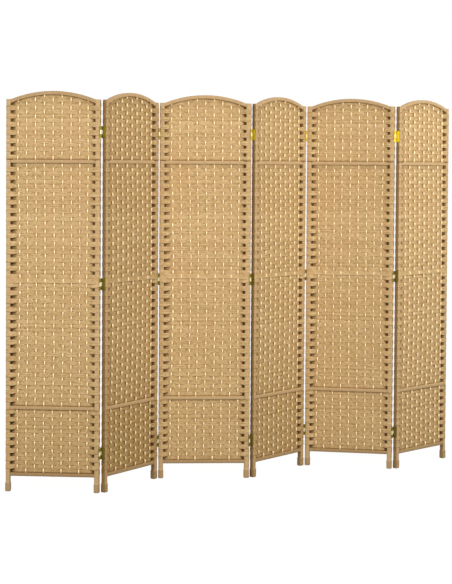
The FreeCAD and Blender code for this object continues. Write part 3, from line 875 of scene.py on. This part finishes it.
@dataclass
class Weave:
    """The flat weave of a panel: bands of weft cord that pass in front of and behind the warps
    by turns, and go round the stiles in pairs. A band's path is a list of stations, each with
    its x, its y, the band's thickness, its lift and its stretch."""

    sizes: PanelSizes
    strands: int = 4
    swing: float = 1.8 * MM
    thickness: float = 1.3 * MM
    wrap_thickness: float = 0.9 * MM
    valley: float = 0.4
    edge_share: float = 0.5
    swollen: float = 1.07
    stretch_before: float = 1.2
    stretch_behind: float = 1.38
    lath_stretch: float = 1.08
    crown_stretch: float = 1.25
    warp_sides: int = 8
    warp_radius: float = 3.0 * MM
    warp_swing: float = 2.2 * MM
    lath_cover: float = 3.1 * MM
    # Painted shade where bands tuck behind warps, in the side holes by the stiles and round the stiles' outer
    # edges.
    tuck_shade: float = 0.22
    tuck_reach: float = 7 * MM
    hole_shade: float = 0.85
    hole_parts: tuple[float, float] = (0.5, 0.7)
    hole_reach: tuple[float, float] = (20 * MM, 14 * MM)
    edge_shade: float = 0.6
    # Painted shade next to the rails, and a wider, fainter shade under the arch and the upper rail.
    rail_shade: float = 0.9
    rail_reach: float = 2.8 * MM
    under_shade: float = 0.24
    shade_reach: float = 23 * MM

    def wrap(self, course: Course, slant: float, height: float, spread: float) -> list[Station]:
        """Return a band's path round the left stile, from the middle of its outer edge.

        Args:
            course: The side of the stile that the band passes on.
            slant: 1 where the band climbs towards the outer edge, -1 where it sinks, 0 if level.
            height: The band's height.
            spread: How far the band has slipped along the stile's flat side, 0 to 1.

        Returns:
            Stations up to the stile's inner edge.
        """
        sign, thick, corner = course.value, self.wrap_thickness, self.sizes.bar_corner
        out = thick / 2 - 0.1 * MM
        face = sign * (self.sizes.bar / 2 + thick / 2)
        flat = self.sizes.bar / 2 - corner
        turn = (corner + out) * math.sqrt(0.5)
        lift = slant * height
        slip = 0.05 * spread * lift
        wide = self.stretch_behind if course is Course.BEHIND else self.stretch_before
        return [
            (-out, 0.0, thick * 0.9, 0.5 * lift, 1.0),
            (-out, sign * flat * 0.5, thick, 0.27 * lift + slip, 1.0),
            (-out, sign * flat, thick, 0.09 * lift + slip, 1.0),
            (corner - turn, sign * (flat + turn), thick, slip, 1.0),
            (corner, face, thick, slip, 1.05),
            (self.sizes.bar - self.sizes.tuck, face, thick, slip, wide),
        ]

    def side(
        self, course: Course, slant: float, height: float, crest: float, spread: float = 0.0
    ) -> list[Station]:
        """Return a band's path from the left stile's outer edge to just before the first warp.

        Args:
            course: The side of the stile that the band passes on.
            slant: How the band slants on the stile's outer edge, as for wrap.
            height: The band's height.
            crest: The band's y at the first warp.
            spread: How far the band has slipped along the stile's flat side, 0 to 1.

        Returns:
            The stations.
        """
        path = self.wrap(course, slant, height, spread)
        start_x, start_y, _, slip, wide = path[-1]
        first = self.sizes.warp_places()[0]
        for share in (0.24, 0.5, 0.76):
            ease = eased(share ** (1.0 - 0.45 * spread))
            x = start_x + (first - start_x) * share
            y = start_y + (crest - start_y) * ease
            path.append((x, y, self.thickness, slip * (1 - ease), wide + (1 - wide) * ease))
        return path

    def mirrored(self, path: Sequence[Station]) -> list[Station]:
        """Return a left-hand path turned into the right-hand one, in reverse order."""
        return [(self.sizes.width - x, *rest) for x, *rest in reversed(path)]

    def row_path(self, course: Course, height: float) -> list[Station]:
        """Return the whole path of an ordinary row.

        Args:
            course: The side of the stiles that the row passes on.
            height: The row's height.

        Returns:
            Stations from the left stile's outer edge to the right one's.
        """
        climb, crest = course.value, -course.value * self.swing
        spread = 1.0 if course is Course.BEHIND else 0.0
        path = self.side(course, climb, height, crest)
        path += self.crossings(crest, 0, self.sizes.warp_count - 1)
        return path + self.mirrored(self.side(course, -climb, height, crest, spread))

    def crossings(self, crest: float, first: int, last: int, tail: float = 0.0) -> list[Station]:
        """Return stations from one warp to another.

        Args:
            crest: y at warp 0; it changes sign from warp to warp.
            first: The first warp's number.
            last: The last warp's number.
            tail: How far the band runs on past both warps, in gaps between warps.

        Returns:
            The stations.
        """
        places = self.sizes.warp_places()
        pitch = places[1] - places[0]
        steps = [k / 4 for k in range(first * 4, last * 4 + 1)]
        if tail:
            ends = [tail, 0.66 * tail, 0.33 * tail]
            steps = [*(first - end for end in ends), *steps, *(last + end for end in reversed(ends))]
        return [
            (places[0] + pitch * k, crest * math.cos(math.pi * k), self.thickness, 0.0, 1.0)
            for k in steps
        ]

    def band(self, name: str, path: Sequence[Station], height: float, level: float) -> Piece:
        """Return a band of cords laid side by side along a path.

        Args:
            name: The band's name.
            path: Its stations.
            height: The band's height.
            level: The band's middle.

        Returns:
            The band.
        """
        table = np.array(path)
        plan = table[:, :2]
        x, y, thick, lift, stretch = (column[:, None] for column in table.T)
        tangent = np.gradient(plan, axis=0)
        tangent /= np.linalg.norm(tangent, axis=1)[:, None]
        run = np.concatenate([[0.0], np.cumsum(np.linalg.norm(np.diff(plan, axis=0), axis=1))])
        up = np.arange(2 * self.strands + 1)
        depth = np.where(up % 2 == 1, 0.5, 0.5 * self.valley)
        depth[0] = depth[-1] = 0.5 * self.edge_share
        across = np.concatenate([up, up[::-1]]) / 2
        offset = np.concatenate([depth, -depth[::-1]])
        rise = (across / self.strands - 0.5) * height * self.swollen
        rings = lay(
            x + tangent[:, 1:] * offset * thick,
            y - tangent[:, :1] * offset * thick,
            level + rise * stretch + lift,
        )
        return Tube(name, rings, run[:, None], across, self.hidden_shade(plan, offset)).build()

    def hidden_shade(self, plan: np.ndarray, offset: np.ndarray) -> np.ndarray:
        """Return the shade painted on a band where it tucks behind the warps, in the side holes and on the
        outer edges.

        Args:
            plan: The stations' x and y.
            offset: How far the points of a ring stand off the band's middle.

        Returns:
            The grime by station and point.
        """
        x, y = plan[:, :1], plan[:, 1:]
        left = x < self.sizes.width / 2
        edge = self.sizes.from_edge(x)
        inside = edge - self.sizes.bar
        near = np.abs(x - self.sizes.warp_places()).min(axis=1, keepdims=True) / self.tuck_reach
        part = np.where(left, *self.hole_parts)
        reach = np.where(left, *self.hole_reach)
        # Painted shade in the side holes, where the band recedes behind the stile.
        hole = part * ramp(inside, reach, reach - 6 * MM)
        hole += (self.hole_shade - part) * ramp(inside, 12 * MM, 0.0)
        # Painted shade where the band tucks behind a warp, on its face that is turned towards the panel's
        # middle.
        tucked = np.maximum(self.tuck_shade * np.exp(-(near**2)), hole)
        hidden = np.clip(np.sign(y) * np.sign(offset), 0, 1)
        # Painted shade on the cord that wraps round the stiles' outer edges.
        return np.maximum(tucked * hidden, self.edge_shade * ramp(edge, 0.0, -0.3 * MM))

    def rows(self, name: str, bay: Bay, first: int, count: int) -> Piece:
        """Return rows of weft: one pair is laid, and then repeated up the bay.

        Args:
            name: The piece's name.
            bay: The bay that the rows belong to.
            first: The first row's number in the bay.
            count: How many rows there are.

        Returns:
            The rows.
        """
        height = bay.row_height
        laid = [
            self.band(f"{name}_{row}", self.row_path(bay.course(row), height), height, bay.level(row))
            for row in (first, first + 1)
        ]
        each = len(laid[0].data.vertices)
        spare = None
        if count % 2:
            spare = Bench.copy(laid[0], f"{name}_last")
            Bench.move_points(spare, Bench.points(spare) + [0.0, 0.0, (count - 1) * height])
        pair = Bench.join(name, laid)
        Bench.array(pair, count // 2, (0.0, 0.0, 2 * height))
        if spare is not None:
            pair = Bench.join(name, [pair, spare])
        Bench.mark(pair, "row", first + np.arange(len(pair.data.vertices)) // each)
        return pair

    def lath_rows(self, bay: Bay) -> list[Piece]:
        """Return the two bands that hide the thin middle rail, one before and one behind it.

        Args:
            bay: The bay with the middle rail.

        Returns:
            The bands.
        """
        bands = []
        for course in Course:
            y = course.value * self.lath_cover
            side = self.side(course, 0.0, bay.row_height, y)
            flat = [(x, y, self.thickness * 0.85, 0.0, 1.0) for x in self.sizes.warp_places()]
            path = [*side, *flat, *self.mirrored(side)]
            height = self.lath_stretch * bay.row_height
            bands.append(self.band(f"lath_{course.name.lower()}", path, height, bay.level(LATH_ROW)))
            Bench.mark(bands[-1], "row", 200.0 + course.value)
        return bands

    def crown_rows(self, bay: Bay) -> list[Piece]:
        """Return the short rows under the arch, above the last whole row.

        Args:
            bay: The bay under the arch.

        Returns:
            The bands.
        """
        bands = []
        for row, (first, last, tail) in ((bay.rows, (0, 8, 0.32)), (bay.rows + 1, (2, 6, 0.68))):
            path = self.crossings(-bay.course(row).value * self.swing, first, last, tail)
            height = self.crown_stretch * bay.row_height
            bands.append(self.band(f"crown_{row}", path, height, bay.level(row)))
            Bench.mark(bands[-1], "row", float(row))
        return bands

    def build_weft(self) -> Piece:
        """Lay the weft of all three bays, and paint shade on it at the rails.

        Returns:
            The weft as one piece.
        """
        lower, middle, upper = BAYS.values()
        pieces = [
            self.rows("lower_rows", lower, 0, lower.rows),
            self.rows("middle_low_rows", middle, 0, LATH_ROW),
            self.rows("middle_high_rows", middle, LATH_ROW + 1, middle.rows - LATH_ROW - 1),
            self.rows("upper_rows", upper, 0, upper.rows),
        ]
        for number, piece in enumerate(pieces):
            Bench.mark(piece, "row", Bench.marks(piece, "row") + 61.0 * number)
        weft = Bench.join("weave", [*pieces, *self.lath_rows(middle), *self.crown_rows(upper)])
        painted_shade = np.maximum(Bench.marks(weft, "painted_shade"), self.shade_at_rails(Bench.points(weft)))
        Bench.mark(weft, "painted_shade", painted_shade)
        return weft

    def shade_at_rails(self, points: np.ndarray) -> np.ndarray:
        """Return the shade painted on the weave where it meets the rails and the arch.

        Args:
            points: Rows of x, y and z.

        Returns:
            0 for no painted shade, up to nearly 1 right at a rail.
        """
        x, z = points[:, 0], points[:, 2]
        half, upper = self.sizes.rail / 2, self.sizes.rail_levels[2]
        under_arch = np.clip(self.sizes.underside(x) - z, 0, 1)
        away = under_arch
        for level in self.sizes.rail_levels:
            above, below = np.clip(z - level - half, 0, 1), np.clip(level - half - z, 0, 1)
            away = np.minimum(away, np.where(z > level, above / 1.25, below + 1.6 * MM))
        under_rail = np.where(z < upper, np.clip(upper - half - z, 0, 1), 1)
        shade = np.minimum(under_arch / 1.4, under_rail) / self.shade_reach
        # Painted shade: a dark line along each rail and the arch, and a broad faint shade under the arch and
        # under the upper rail.
        near = self.rail_shade * np.exp(-away / self.rail_reach)
        return np.maximum(near, self.under_shade * np.exp(-(shade**2)))

    def warp_stops(self, bay: Bay, warp: int, foot: float, head: float, lath: bool) -> list[tuple[float, ...]]:
        """Return a warp's stops: each one's level, its y and the cord's depth there.

        Args:
            bay: The bay.
            warp: The warp's number from the left.
            foot: The level that it starts at.
            head: The level that it ends at.
            lath: Whether it passes the hidden middle rail.

        Returns:
            The stops from foot to head.
        """
        height, sign = bay.row_height, -1.0 if warp % 2 else 1.0
        stops = [(foot, 0.0, 1.0)]
        row = 0
        while bay.foot + row * height < head:
            middle = bay.level(row)
            if lath and row == LATH_ROW:
                away = sign * (self.lath_cover + 1.9 * MM)
                stops += [(middle + step * height, away, 0.7) for step in (-0.25, 0.0, 0.25)]
            elif middle < head:
                depth = bay.course(row).value * sign * self.warp_swing
                reach = min(0.43 * height, 0.5 * (head - middle))
                stops += [(middle - reach, depth, 1.0), (middle + reach, depth, 1.0)]
            edge = bay.foot + (row + 1) * height
            if edge < head - 1 * MM:
                near_lath = lath and row in (LATH_ROW - 1, LATH_ROW)
                stops.append((edge, sign * 1.5 * MM if near_lath else 0.0, 0.9))
            row += 1
        return [*stops, (head, 0.0, 1.0)]

    def warp(self, name: str, warp: int, stops: Sequence[tuple[float, ...]]) -> Piece:
        """Return one warp cord in one bay.

        Args:
            name: The piece's name.
            warp: The warp's number from the left.
            stops: Its stops.

        Returns:
            The warp.
        """
        level, y, depth = (column[:, None] for column in np.array(stops).T)
        turn = np.arange(self.warp_sides) / self.warp_sides
        angle = turn * math.tau
        x = self.sizes.warp_places()[warp] + self.warp_radius * np.cos(angle)
        rings = lay(x, y + depth * (self.warp_radius * np.sin(angle)), level)
        piece = Tube(name, rings, level, np.abs(turn * 2 - 1)).build()
        Bench.mark(piece, "row", 3.0 * warp)
        return piece

    def build_warps(self) -> Piece:
        """Lay each warp in each bay, from rail to rail.

        Returns:
            All warps as one piece.
        """
        tuck, half = self.sizes.tuck, self.sizes.rail / 2
        low, mid, high = self.sizes.rail_levels
        pieces = []
        for warp, x in enumerate(self.sizes.warp_places()):
            top = float(self.sizes.underside(np.array([x]))[0]) + 3 * tuck
            spans = {
                "lower": (low + half - tuck, mid - half + tuck),
                "middle": (mid + half - tuck, high - half + tuck),
                "upper": (high + half - tuck, top),
            }
            for name, (foot, head) in spans.items():
                stops = self.warp_stops(BAYS[name], warp, foot, head, name == "middle")
                pieces.append(self.warp(f"warp_{warp}_{name}", warp, stops))
        return Bench.join("warp_cords", pieces)


# What sets one panel apart from the next


class CordPiece(Enum):
    """The cord pieces of a panel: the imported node, the record's slot and the finish of each."""

    STILE_CORD = ("stile_windings", "cord_winding", "wound_cord")
    RAIL_CORD = ("rail_windings", "cord_winding", "wound_cord")
    WARP_CORDS = ("warps", "warp_cord", "warp_cord")
    WEAVE = ("weft", "weft_cord", "weft_cord")


@dataclass(frozen=True)
class Wear:
    """One panel's state. How far each warp is off to the side, how thick the left and the right
    edge are padded, and how far the weave bulges forwards are all in millimetres."""

    drift: tuple[float, ...]
    pads: tuple[float, float]
    # Apart from bulge and relief, the fields from here on set how much shade is painted on the panel's cord.
    foot_shade: float
    rim_shade: float
    bulge: float = 0.0
    relief: float = 1.0
    age: float = 0.0
    rail_shade_scale: float = 0.2
    hole_shade_scale: tuple[float, float] = (1.0, 1.0)


WEAR = (
    Wear((12.0, 7.5, 6.0, 5.5, 7.0, 7.5, 4.5, 1.5, -7.5), (-1.0, 2.4), 0.14, 1.4, rail_shade_scale=1.0),
    Wear((8.0, 7.0, 7.0, 7.0, 8.0, 5.0, 6.0, 4.0, -3.0), (0.0, 4.4), 0.26, 2.2, 3.5, 1.5, age=0.18),
    Wear(
        (13.0, 11.0, 14.0, 9.0, 9.5, 9.0, 7.0, 3.0, -4.0),
        (0.8, 3.2), 0.05, 0.9, rail_shade_scale=0.5, hole_shade_scale=(0.55, 1.4),
    ),
    Wear((7.0, 3.0, 3.5, 3.5, 4.0, 5.0, 7.0, 3.0, -4.0), (0.6, 3.4), 0.19, 1.8, 3.5, 1.4, age=0.08),
    Wear(
        (9.0, 2.5, 2.0, -3.0, -1.5, -2.5, -1.0, -2.5, -8.0),
        (1.8, 2.0), 0.02, 1.2, rail_shade_scale=0.6, hole_shade_scale=(0.7, 1.4),
    ),
    Wear((6.0, 4.0, 5.0, 3.0, 5.0, 5.0, 5.0, 5.0, -2.0), (2.2, -1.0), 0.09, 2.2, 3.5, 1.6),
)


@dataclass
class Slack:
    """How one panel's weave has been pulled out of true: warps drawn aside between the rails,
    rows that wander a little, and crowded rows under the upper rail and the arch."""

    sizes: PanelSizes
    wear: Wear
    seed: int
    edge_drift: tuple[float, ...] = (2.5, 1, 0.5, 0.5, 0, 0, 0, -0.5, -3.5)
    unsteady: float = 0.14
    sway: float = 0.6 * MM
    wander: float = 0.7 * MM
    push: float = 0.25 * MM
    crowd: float = 2.4 * MM
    crowd_push: float = 0.9 * MM
    crowd_reach: tuple[float, float] = (26 * MM, 24 * MM)
    held: float = 9 * MM
    free_from: float = 28 * MM
    pad_soft: float = 15 * MM

    def waves(self, x: np.ndarray, z: np.ndarray, length: float, salt: int) -> np.ndarray:
        """Return smooth seeded unevenness between about -1 and 1.

        Args:
            x: Places across the panel.
            z: Levels.
            length: The unevenness's length across the panel.
            salt: Sets one field of unevenness apart from another.

        Returns:
            The unevenness at each point.
        """
        chance = np.random.default_rng(self.seed * 31 + salt)
        total = np.zeros_like(x)
        for _ in range(5):
            kx, kz = chance.uniform(0.5, 1.3, 2) * math.tau / length
            kz *= chance.choice([-0.8, 0.8])
            total += np.sin(kx * x + kz * z + chance.uniform(0, math.tau))
        return total / 3

    def swell(self, z: np.ndarray, foot: float, head: float, power: float) -> np.ndarray:
        """Return a value that rises from 0 at two levels to 1 halfway between them."""
        return np.sin(math.pi * ramp(z, foot, head)) ** power

    def drifted(self, x: np.ndarray, shifts: Sequence[float]) -> np.ndarray:
        """Return how far the weave is off to the side, between warps and stiles.

        Args:
            x: Places across the panel.
            shifts: How far each warp is off, in millimetres.

        Returns:
            The shift at each place, in metres.
        """
        edge = self.sizes.bar
        places = [edge, *self.sizes.warp_places(), self.sizes.width - edge]
        return np.interp(x, places, [0.0, *shifts, 0.0]) * MM

    def pull(self, piece: Piece, rows_too: bool) -> None:
        """Pull a piece of weave out of true.

        Args:
            piece: The weft or the warps of the panel.
            rows_too: Whether rows wander up and down as well.
        """
        points = Bench.points(piece)
        x, z = points[:, 0].copy(), points[:, 2].copy()
        low, mid, high = self.sizes.rail_levels
        top = self.sizes.stile_top + self.sizes.arch_rise
        middle = self.swell(z, mid, high, 0.6)
        outer = self.swell(z, low, mid, 0.5) + self.swell(z, high, top + 0.08, 0.5)
        inner = eased(ramp(self.sizes.from_edge(x), self.sizes.bar, self.sizes.bar + self.free_from))
        uneven = 1 + self.unsteady * self.waves(x * 0.2, z, 0.2, 7)
        points[:, 0] += self.drifted(x, self.wear.drift) * middle * uneven
        points[:, 0] += self.drifted(x, self.edge_drift) * outer
        points[:, 0] += inner * self.sway * self.waves(x, z, 0.09, 5)
        points[:, 1] *= 1 + (self.wear.relief - 1) * inner
        points[:, 1] -= self.wear.bulge * MM * middle * inner
        if rows_too:
            half, under = self.sizes.rail / 2, self.sizes.underside(x)
            rail_reach, arch_reach = self.crowd_reach
            crowded = np.exp(-np.clip(high - half - z, 0, 1) / rail_reach) * (z < high)
            crowded += np.exp(-np.clip(under - z, 0, 1) / arch_reach)
            loose = inner * ramp(z, under, under - self.held)
            for level in self.sizes.rail_levels:
                loose *= ramp(np.abs(z - level), half, half + self.held)
            crowd = self.crowd * crowded * self.waves(x, z, 0.07, 2)
            crowd_push = self.crowd_push * crowded * self.waves(x, z, 0.05, 4)
            points[:, 2] += loose * (self.wander * self.waves(x, z, 0.16, 1) + crowd)
            points[:, 1] += loose * (self.push * self.waves(x, z, 0.09, 3) + crowd_push)
        self.sizes.squeeze_under_arch(points)
        Bench.move_points(piece, points)

    def pad_edges(self, piece: Piece) -> None:
        """Pad the stiles' outer edges, less so at the legs.

        Args:
            piece: The weft or the stile windings of the panel.
        """
        points = Bench.points(piece)
        x, width = points[:, 0].copy(), self.sizes.width
        thick = MM * (1 - 0.6 * ramp(points[:, 2], 44 * MM, 38 * MM))
        left, right = self.wear.pads
        points[:, 0] -= left * thick * ramp(x, self.pad_soft, 0.0)
        points[:, 0] += right * thick * ramp(x, width - self.pad_soft, width)
        Bench.move_points(piece, points)

    def press_under_hinges(self, piece: Piece, left: bool, right: bool) -> None:
        """Press the cords on the stiles' outer edges flat where hinge leaves lie on them.

        Args:
            piece: The weft or the stile windings of the panel.
            left: Whether the left stile carries hinges.
            right: Whether the right stile carries hinges.
        """
        points = Bench.points(piece)
        reach = self.sizes.hinge_reach
        aways = [np.abs(points[:, 2] - level) for level in self.sizes.hinge_levels]
        free = ramp(np.minimum.reduce(aways), reach, reach + 7 * MM)
        least = 0.05 * MM - free * 5 * MM
        if left:
            points[:, 0] = np.maximum(points[:, 0], least)
        if right:
            points[:, 0] = np.minimum(points[:, 0], self.sizes.width - least)
        Bench.move_points(piece, points)

    def shade_marks(self, piece: Piece, kind: CordPiece) -> None:
        """Mark how much shade is painted on a piece.

        Args:
            piece: The piece.
            kind: Which of the panel's pieces it is.
        """
        points = Bench.points(piece)
        painted_shade = Bench.marks(piece, "painted_shade")
        bar = self.sizes.bar
        if kind is CordPiece.RAIL_CORD:
            # Painted shade: each panel's rails darker by their own amount, and the lowest rail darker still
            # near the floor.
            lowest = points[:, 2] < self.sizes.rail_levels[0] + self.sizes.rail
            painted_shade = painted_shade * self.wear.rail_shade_scale + 0.3 * lowest
        elif kind is CordPiece.WEAVE:
            edge = self.sizes.from_edge(points[:, 0])
            # Painted shade in the side holes, scaled for each side of the panel.
            shade_marks = np.where(points[:, 0] < self.sizes.width / 2, *self.wear.hole_shade_scale)
            painted_shade = painted_shade * np.where((edge > bar) & (edge < 2 * bar), shade_marks, 1.0)
        # Painted shade on panels facing away from the lamps and towards every panel's feet, and stronger
        # band-edge shade towards the feet.
        share = {CordPiece.STILE_CORD: 0.5, CordPiece.RAIL_CORD: 0.1}.get(kind, 1.0)
        low = ramp(points[:, 2], 0.6, 0.2)
        Bench.mark(piece, "painted_shade", np.minimum(painted_shade, 1))
        Bench.mark(piece, "age", (self.wear.age + self.wear.foot_shade * low) * share)
        Bench.mark(piece, "rim_shade", self.wear.rim_shade + 1.2 * low)


# The row of panels


@dataclass
class Zigzag:
    """Where each panel stands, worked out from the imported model's joints."""

    joints: Sequence[Mapping[str, object]]
    panels: int = 6
    width: float = 400 * MM
    gap: float = 7 * MM
    pin_offset: float = 12.5 * MM

    def chain(self) -> tuple[list[tuple[complex, complex]], list[complex]]:
        """Fold a row that lies anywhere, in plan, with complex numbers for x and y.

        Returns:
            Each panel's left edge and direction, and the open pins.
        """
        folds = {joint["name"]: -joint["range_deg"][0] for joint in self.joints}
        edge, along = 0j, 1 + 0j
        panels, pins = [(edge, along)], []
        for number in range(1, self.panels):
            side = 1 if number % 2 else -1
            pin = edge + along * (self.width + self.gap / 2 + 1j * side * self.pin_offset)
            fold = math.radians(folds[f"fold_{number}_{number + 1}"])
            along *= complex(math.cos(side * fold), math.sin(side * fold))
            edge = pin + along * (self.gap / 2 - 1j * side * self.pin_offset)
            panels.append((edge, along))
            pins.append(pin)
        return panels, pins

    def places(self) -> list[Matrix]:
        """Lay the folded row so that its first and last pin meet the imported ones.

        Returns:
            The matrix that sets each panel in the row.
        """
        panels, pins = self.chain()
        real = {joint["name"]: complex(*joint["pos_m"][:2]) for joint in self.joints}
        first, last = real["fold_1_2"], real[f"fold_{self.panels - 1}_{self.panels}"]
        turn = (last - first) / (pins[-1] - pins[0])
        turn /= abs(turn)
        matrices = []
        for edge, along in panels:
            spot, heading = turn * edge + (first - turn * pins[0]), turn * along
            yaw = math.atan2(heading.imag, heading.real)
            move = Matrix.Translation((spot.real, spot.imag, 0.0))
            matrices.append(move @ Matrix.Rotation(yaw, 4, "Z"))
        return matrices


@dataclass
class Screen:
    """The whole screen: the cord pieces of six panels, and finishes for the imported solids."""

    frame: Mapping[str, Mapping]
    sizes: PanelSizes = field(default_factory=PanelSizes)

    def finishes(self) -> dict[str, bpy.types.Material]:
        """Make the finishes of the cords, the wood and the metals.

        Returns:
            The materials by name.
        """
        made = [
            CordFinish(
                "weft_cord",
                light=srgb(233, 199, 146),
                dark=srgb(175, 137, 81),
                warm=srgb(214, 172, 122),
                olive=srgb(196, 164, 100),
                groove=srgb(112, 74, 18),
                lead=9 * MM,
                groove_shade=0.5,
                rim_shade_depth=0.26,
            ),
            CordFinish(
                "warp_cord",
                light=srgb(255, 236, 194),
                dark=srgb(250, 220, 164),
                warm=srgb(255, 226, 176),
                olive=srgb(248, 230, 172),
                groove=srgb(196, 158, 100),
                lead=7 * MM,
                groove_shade=0.0,
                uneven=0.4,
                shade_tint=srgb(236, 200, 120),
                gloss=0.45,
            ),
            CordFinish(
                "wound_cord",
                light=srgb(218, 184, 136),
                dark=srgb(194, 158, 108),
                warm=srgb(210, 170, 124),
                olive=srgb(204, 172, 118),
                groove=srgb(112, 78, 26),
                lead=8 * MM,
                groove_shade=0.45,
                uneven=0.6,
            ),
            WoodFinish(),
            BrassFinish("hinge_brass", srgb(140, 122, 48), srgb(96, 82, 28)),
            BrassFinish("pin_brass", srgb(238, 232, 198), srgb(206, 196, 146)),
        ]
        return {finish.name: finish.make() for finish in made}

    def dress_solids(self, materials: Mapping[str, bpy.types.Material]) -> None:
        """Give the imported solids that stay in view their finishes.

        Args:
            materials: The materials by name.
        """
        finish_of = {
            "stiles": "core_wood",
            "rails": "core_wood",
            "hinge_leaves": "hinge_brass",
            "hinge_screws": "hinge_brass",
        }
        for name, solid in self.frame["nodes"].items():
            kind = name.split("_", 2)[-1]
            finish = "pin_brass" if name.startswith("hinge_") else finish_of.get(kind)
            if finish is not None:
                solid.data.materials.clear()
                solid.data.materials.append(materials[finish])

    def hang(self, piece: Piece, panel: int, kind: CordPiece, material: bpy.types.Material) -> None:
        """Set a cord piece in the row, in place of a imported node.

        Args:
            piece: The piece.
            panel: The panel's number.
            kind: Which of the panel's pieces it is.
            material: Its material.
        """
        node, slot, _ = kind.value
        piece.data.materials.clear()
        piece.data.materials.append(material)
        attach(piece, f"panel_{panel}")
        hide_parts(f"panel_{panel}_{node}")
        faces = sum(len(face.vertices) - 2 for face in piece.data.polygons)
        LOG.info("%s: %d triangles", piece.name, faces)

    def build(self) -> None:
        """Model one panel's cords, copy them to every panel, and pull each copy out of true."""
        materials = self.finishes()
        self.dress_solids(materials)
        winding, weave = Winding(self.sizes), Weave(self.sizes)
        masters = {
            CordPiece.STILE_CORD: winding.build_stiles(),
            CordPiece.RAIL_CORD: winding.build_rails(),
            CordPiece.WARP_CORDS: weave.build_warps(),
            CordPiece.WEAVE: weave.build_weft(),
        }
        places = Zigzag(self.frame["joints"]).places()
        for number, (place, wear) in enumerate(zip(places, WEAR), start=1):
            slack = Slack(self.sizes, wear, number)
            for kind, master in masters.items():
                piece = Bench.copy(master, f"panel_{number}_{kind.name.lower()}")
                if kind in (CordPiece.WARP_CORDS, CordPiece.WEAVE):
                    slack.pull(piece, rows_too=kind is CordPiece.WEAVE)
                if kind in (CordPiece.STILE_CORD, CordPiece.WEAVE):
                    slack.pad_edges(piece)
                    slack.press_under_hinges(piece, number > 1, number < len(places))
                slack.shade_marks(piece, kind)
                piece.data.transform(place)
                self.hang(piece, number, kind, materials[kind.value[2]])
        for master in masters.values():
            bpy.data.objects.remove(master)


# Studio


@dataclass
class Studio:
    """The pale floor, the lamps and the camera."""

    focal_px: float = 1748.0
    frame_px: tuple[int, int] = (452, 584)
    drop_px: float = 65.55
    eye: Triple = (-3.36091, -7.04005, 1.399)
    heading_deg: float = -24.905
    tilt_deg: float = 2.061
    roll_deg: float = 0.375
    ambient: float = 0.42
    lamps: tuple[tuple[str, Triple, Triple, float, float], ...] = (
        ("front", (0.4, -3.9, 2.5), (0.0, 0.0, 1.0), 1.2, 67.0),
        ("right", (2.4, -1.9, 2.25), (0.3, 0.0, 1.0), 0.8, 33.5),
        ("left", (-4.4, -2.8, 2.2), (-0.3, 0.0, 1.0), 1.2, 109.0),
        ("back", (-0.8, 4.6, 3.0), (0.0, 0.0, 0.9), 2.0, 110.0),
    )
    floor_side: float = 60.0
    floor_level: float = -0.0005
    floor_glow: float = 1.04
    shadow_share: float = 0.08

    def floor(self) -> None:
        """Lay a wide pale floor that is white to the camera and keeps the shadow."""
        Bench.take()
        bpy.ops.mesh.primitive_grid_add(
            x_subdivisions=4, y_subdivisions=4, size=self.floor_side, location=(0, 0, self.floor_level)
        )
        floor = bpy.context.object
        floor.name = "floor"
        shader = Shader(bpy.data.materials.new("floor_white"))
        seen = shader.seen()
        dim = shader.blend(shader.noise(shader.place(), 3.0), (0.2, 0.2, 0.2), (0.18, 0.18, 0.18))
        colour = shader.blend(seen, dim, (0.9, 0.9, 0.9))
        plain = shader.node("ShaderNodeBsdfDiffuse", inputs={"Color": colour})
        white = {"Color": (1.0, 1.0, 1.0, 1.0), "Strength": self.floor_glow}
        glow = shader.node("ShaderNodeEmission", inputs=white)
        away = shader.node("ShaderNodeVectorMath", {"operation": "LENGTH"}, {0: shader.place()}, out="Value")
        clear = ((away - 1.2) / 1.2).clamped() * self.shadow_share + (1.0 - self.shadow_share)
        mixed = shader.node("ShaderNodeMixShader", inputs={0: seen * clear, 1: plain, 2: glow})
        shader.close("ShaderNodeOutputMaterial", mixed)
        floor.data.materials.append(shader.owner)

    def world(self) -> None:
        """Fill the room with even light, and show white behind the screen."""
        shader = Shader(bpy.data.worlds.new("room"))
        bpy.context.scene.world = shader.owner
        strength = shader.seen() * (1.0 - self.ambient) + self.ambient
        light = {"Color": (1.0, 1.0, 1.0, 1.0), "Strength": strength}
        shader.close("ShaderNodeOutputWorld", shader.node("ShaderNodeBackground", inputs=light))

    def lamp(self, name: str, place: Triple, aim: Triple, size: float, watts: float) -> None:
        """Hang a square soft lamp.

        Args:
            name: The lamp's name.
            place: Where it hangs.
            aim: The point that it shines at.
            size: The length of its side.
            watts: Its power.
        """
        data = bpy.data.lights.new(name, "AREA")
        data.size = size
        data.energy = watts
        lamp = bpy.data.objects.new(name, data)
        bpy.context.scene.collection.objects.link(lamp)
        lamp.location = place
        lamp.rotation_euler = (Vector(aim) - Vector(place)).to_track_quat("-Z", "Y").to_euler()

    def camera(self) -> None:
        """Set up the camera at the photograph's viewpoint."""
        data = bpy.data.cameras.new("camera")
        long_side = max(self.frame_px)
        data.sensor_width = 36.0
        data.lens = self.focal_px / long_side * data.sensor_width
        data.shift_y = -self.drop_px / long_side
        camera = bpy.data.objects.new("camera", data)
        bpy.context.scene.collection.objects.link(camera)
        turn = Matrix.Rotation(math.radians(self.heading_deg), 4, "Z")
        turn @= Matrix.Rotation(math.radians(90 - self.tilt_deg), 4, "X")
        turn @= Matrix.Rotation(math.radians(self.roll_deg), 4, "Z")
        camera.matrix_world = Matrix.Translation(self.eye) @ turn
        bpy.context.scene.camera = camera

    def build(self) -> None:
        """Put the studio together."""
        self.floor()
        self.world()
        for lamp in self.lamps:
            self.lamp(*lamp)
        self.camera()
        bpy.context.scene.view_settings.view_transform = "Standard"


def main() -> None:
    """Build the screen and its studio."""
    logging.basicConfig(level=logging.INFO, format="%(message)s")
    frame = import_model()
    Screen(frame).build()
    Studio().build()


if __name__ == "__main__":
    main()
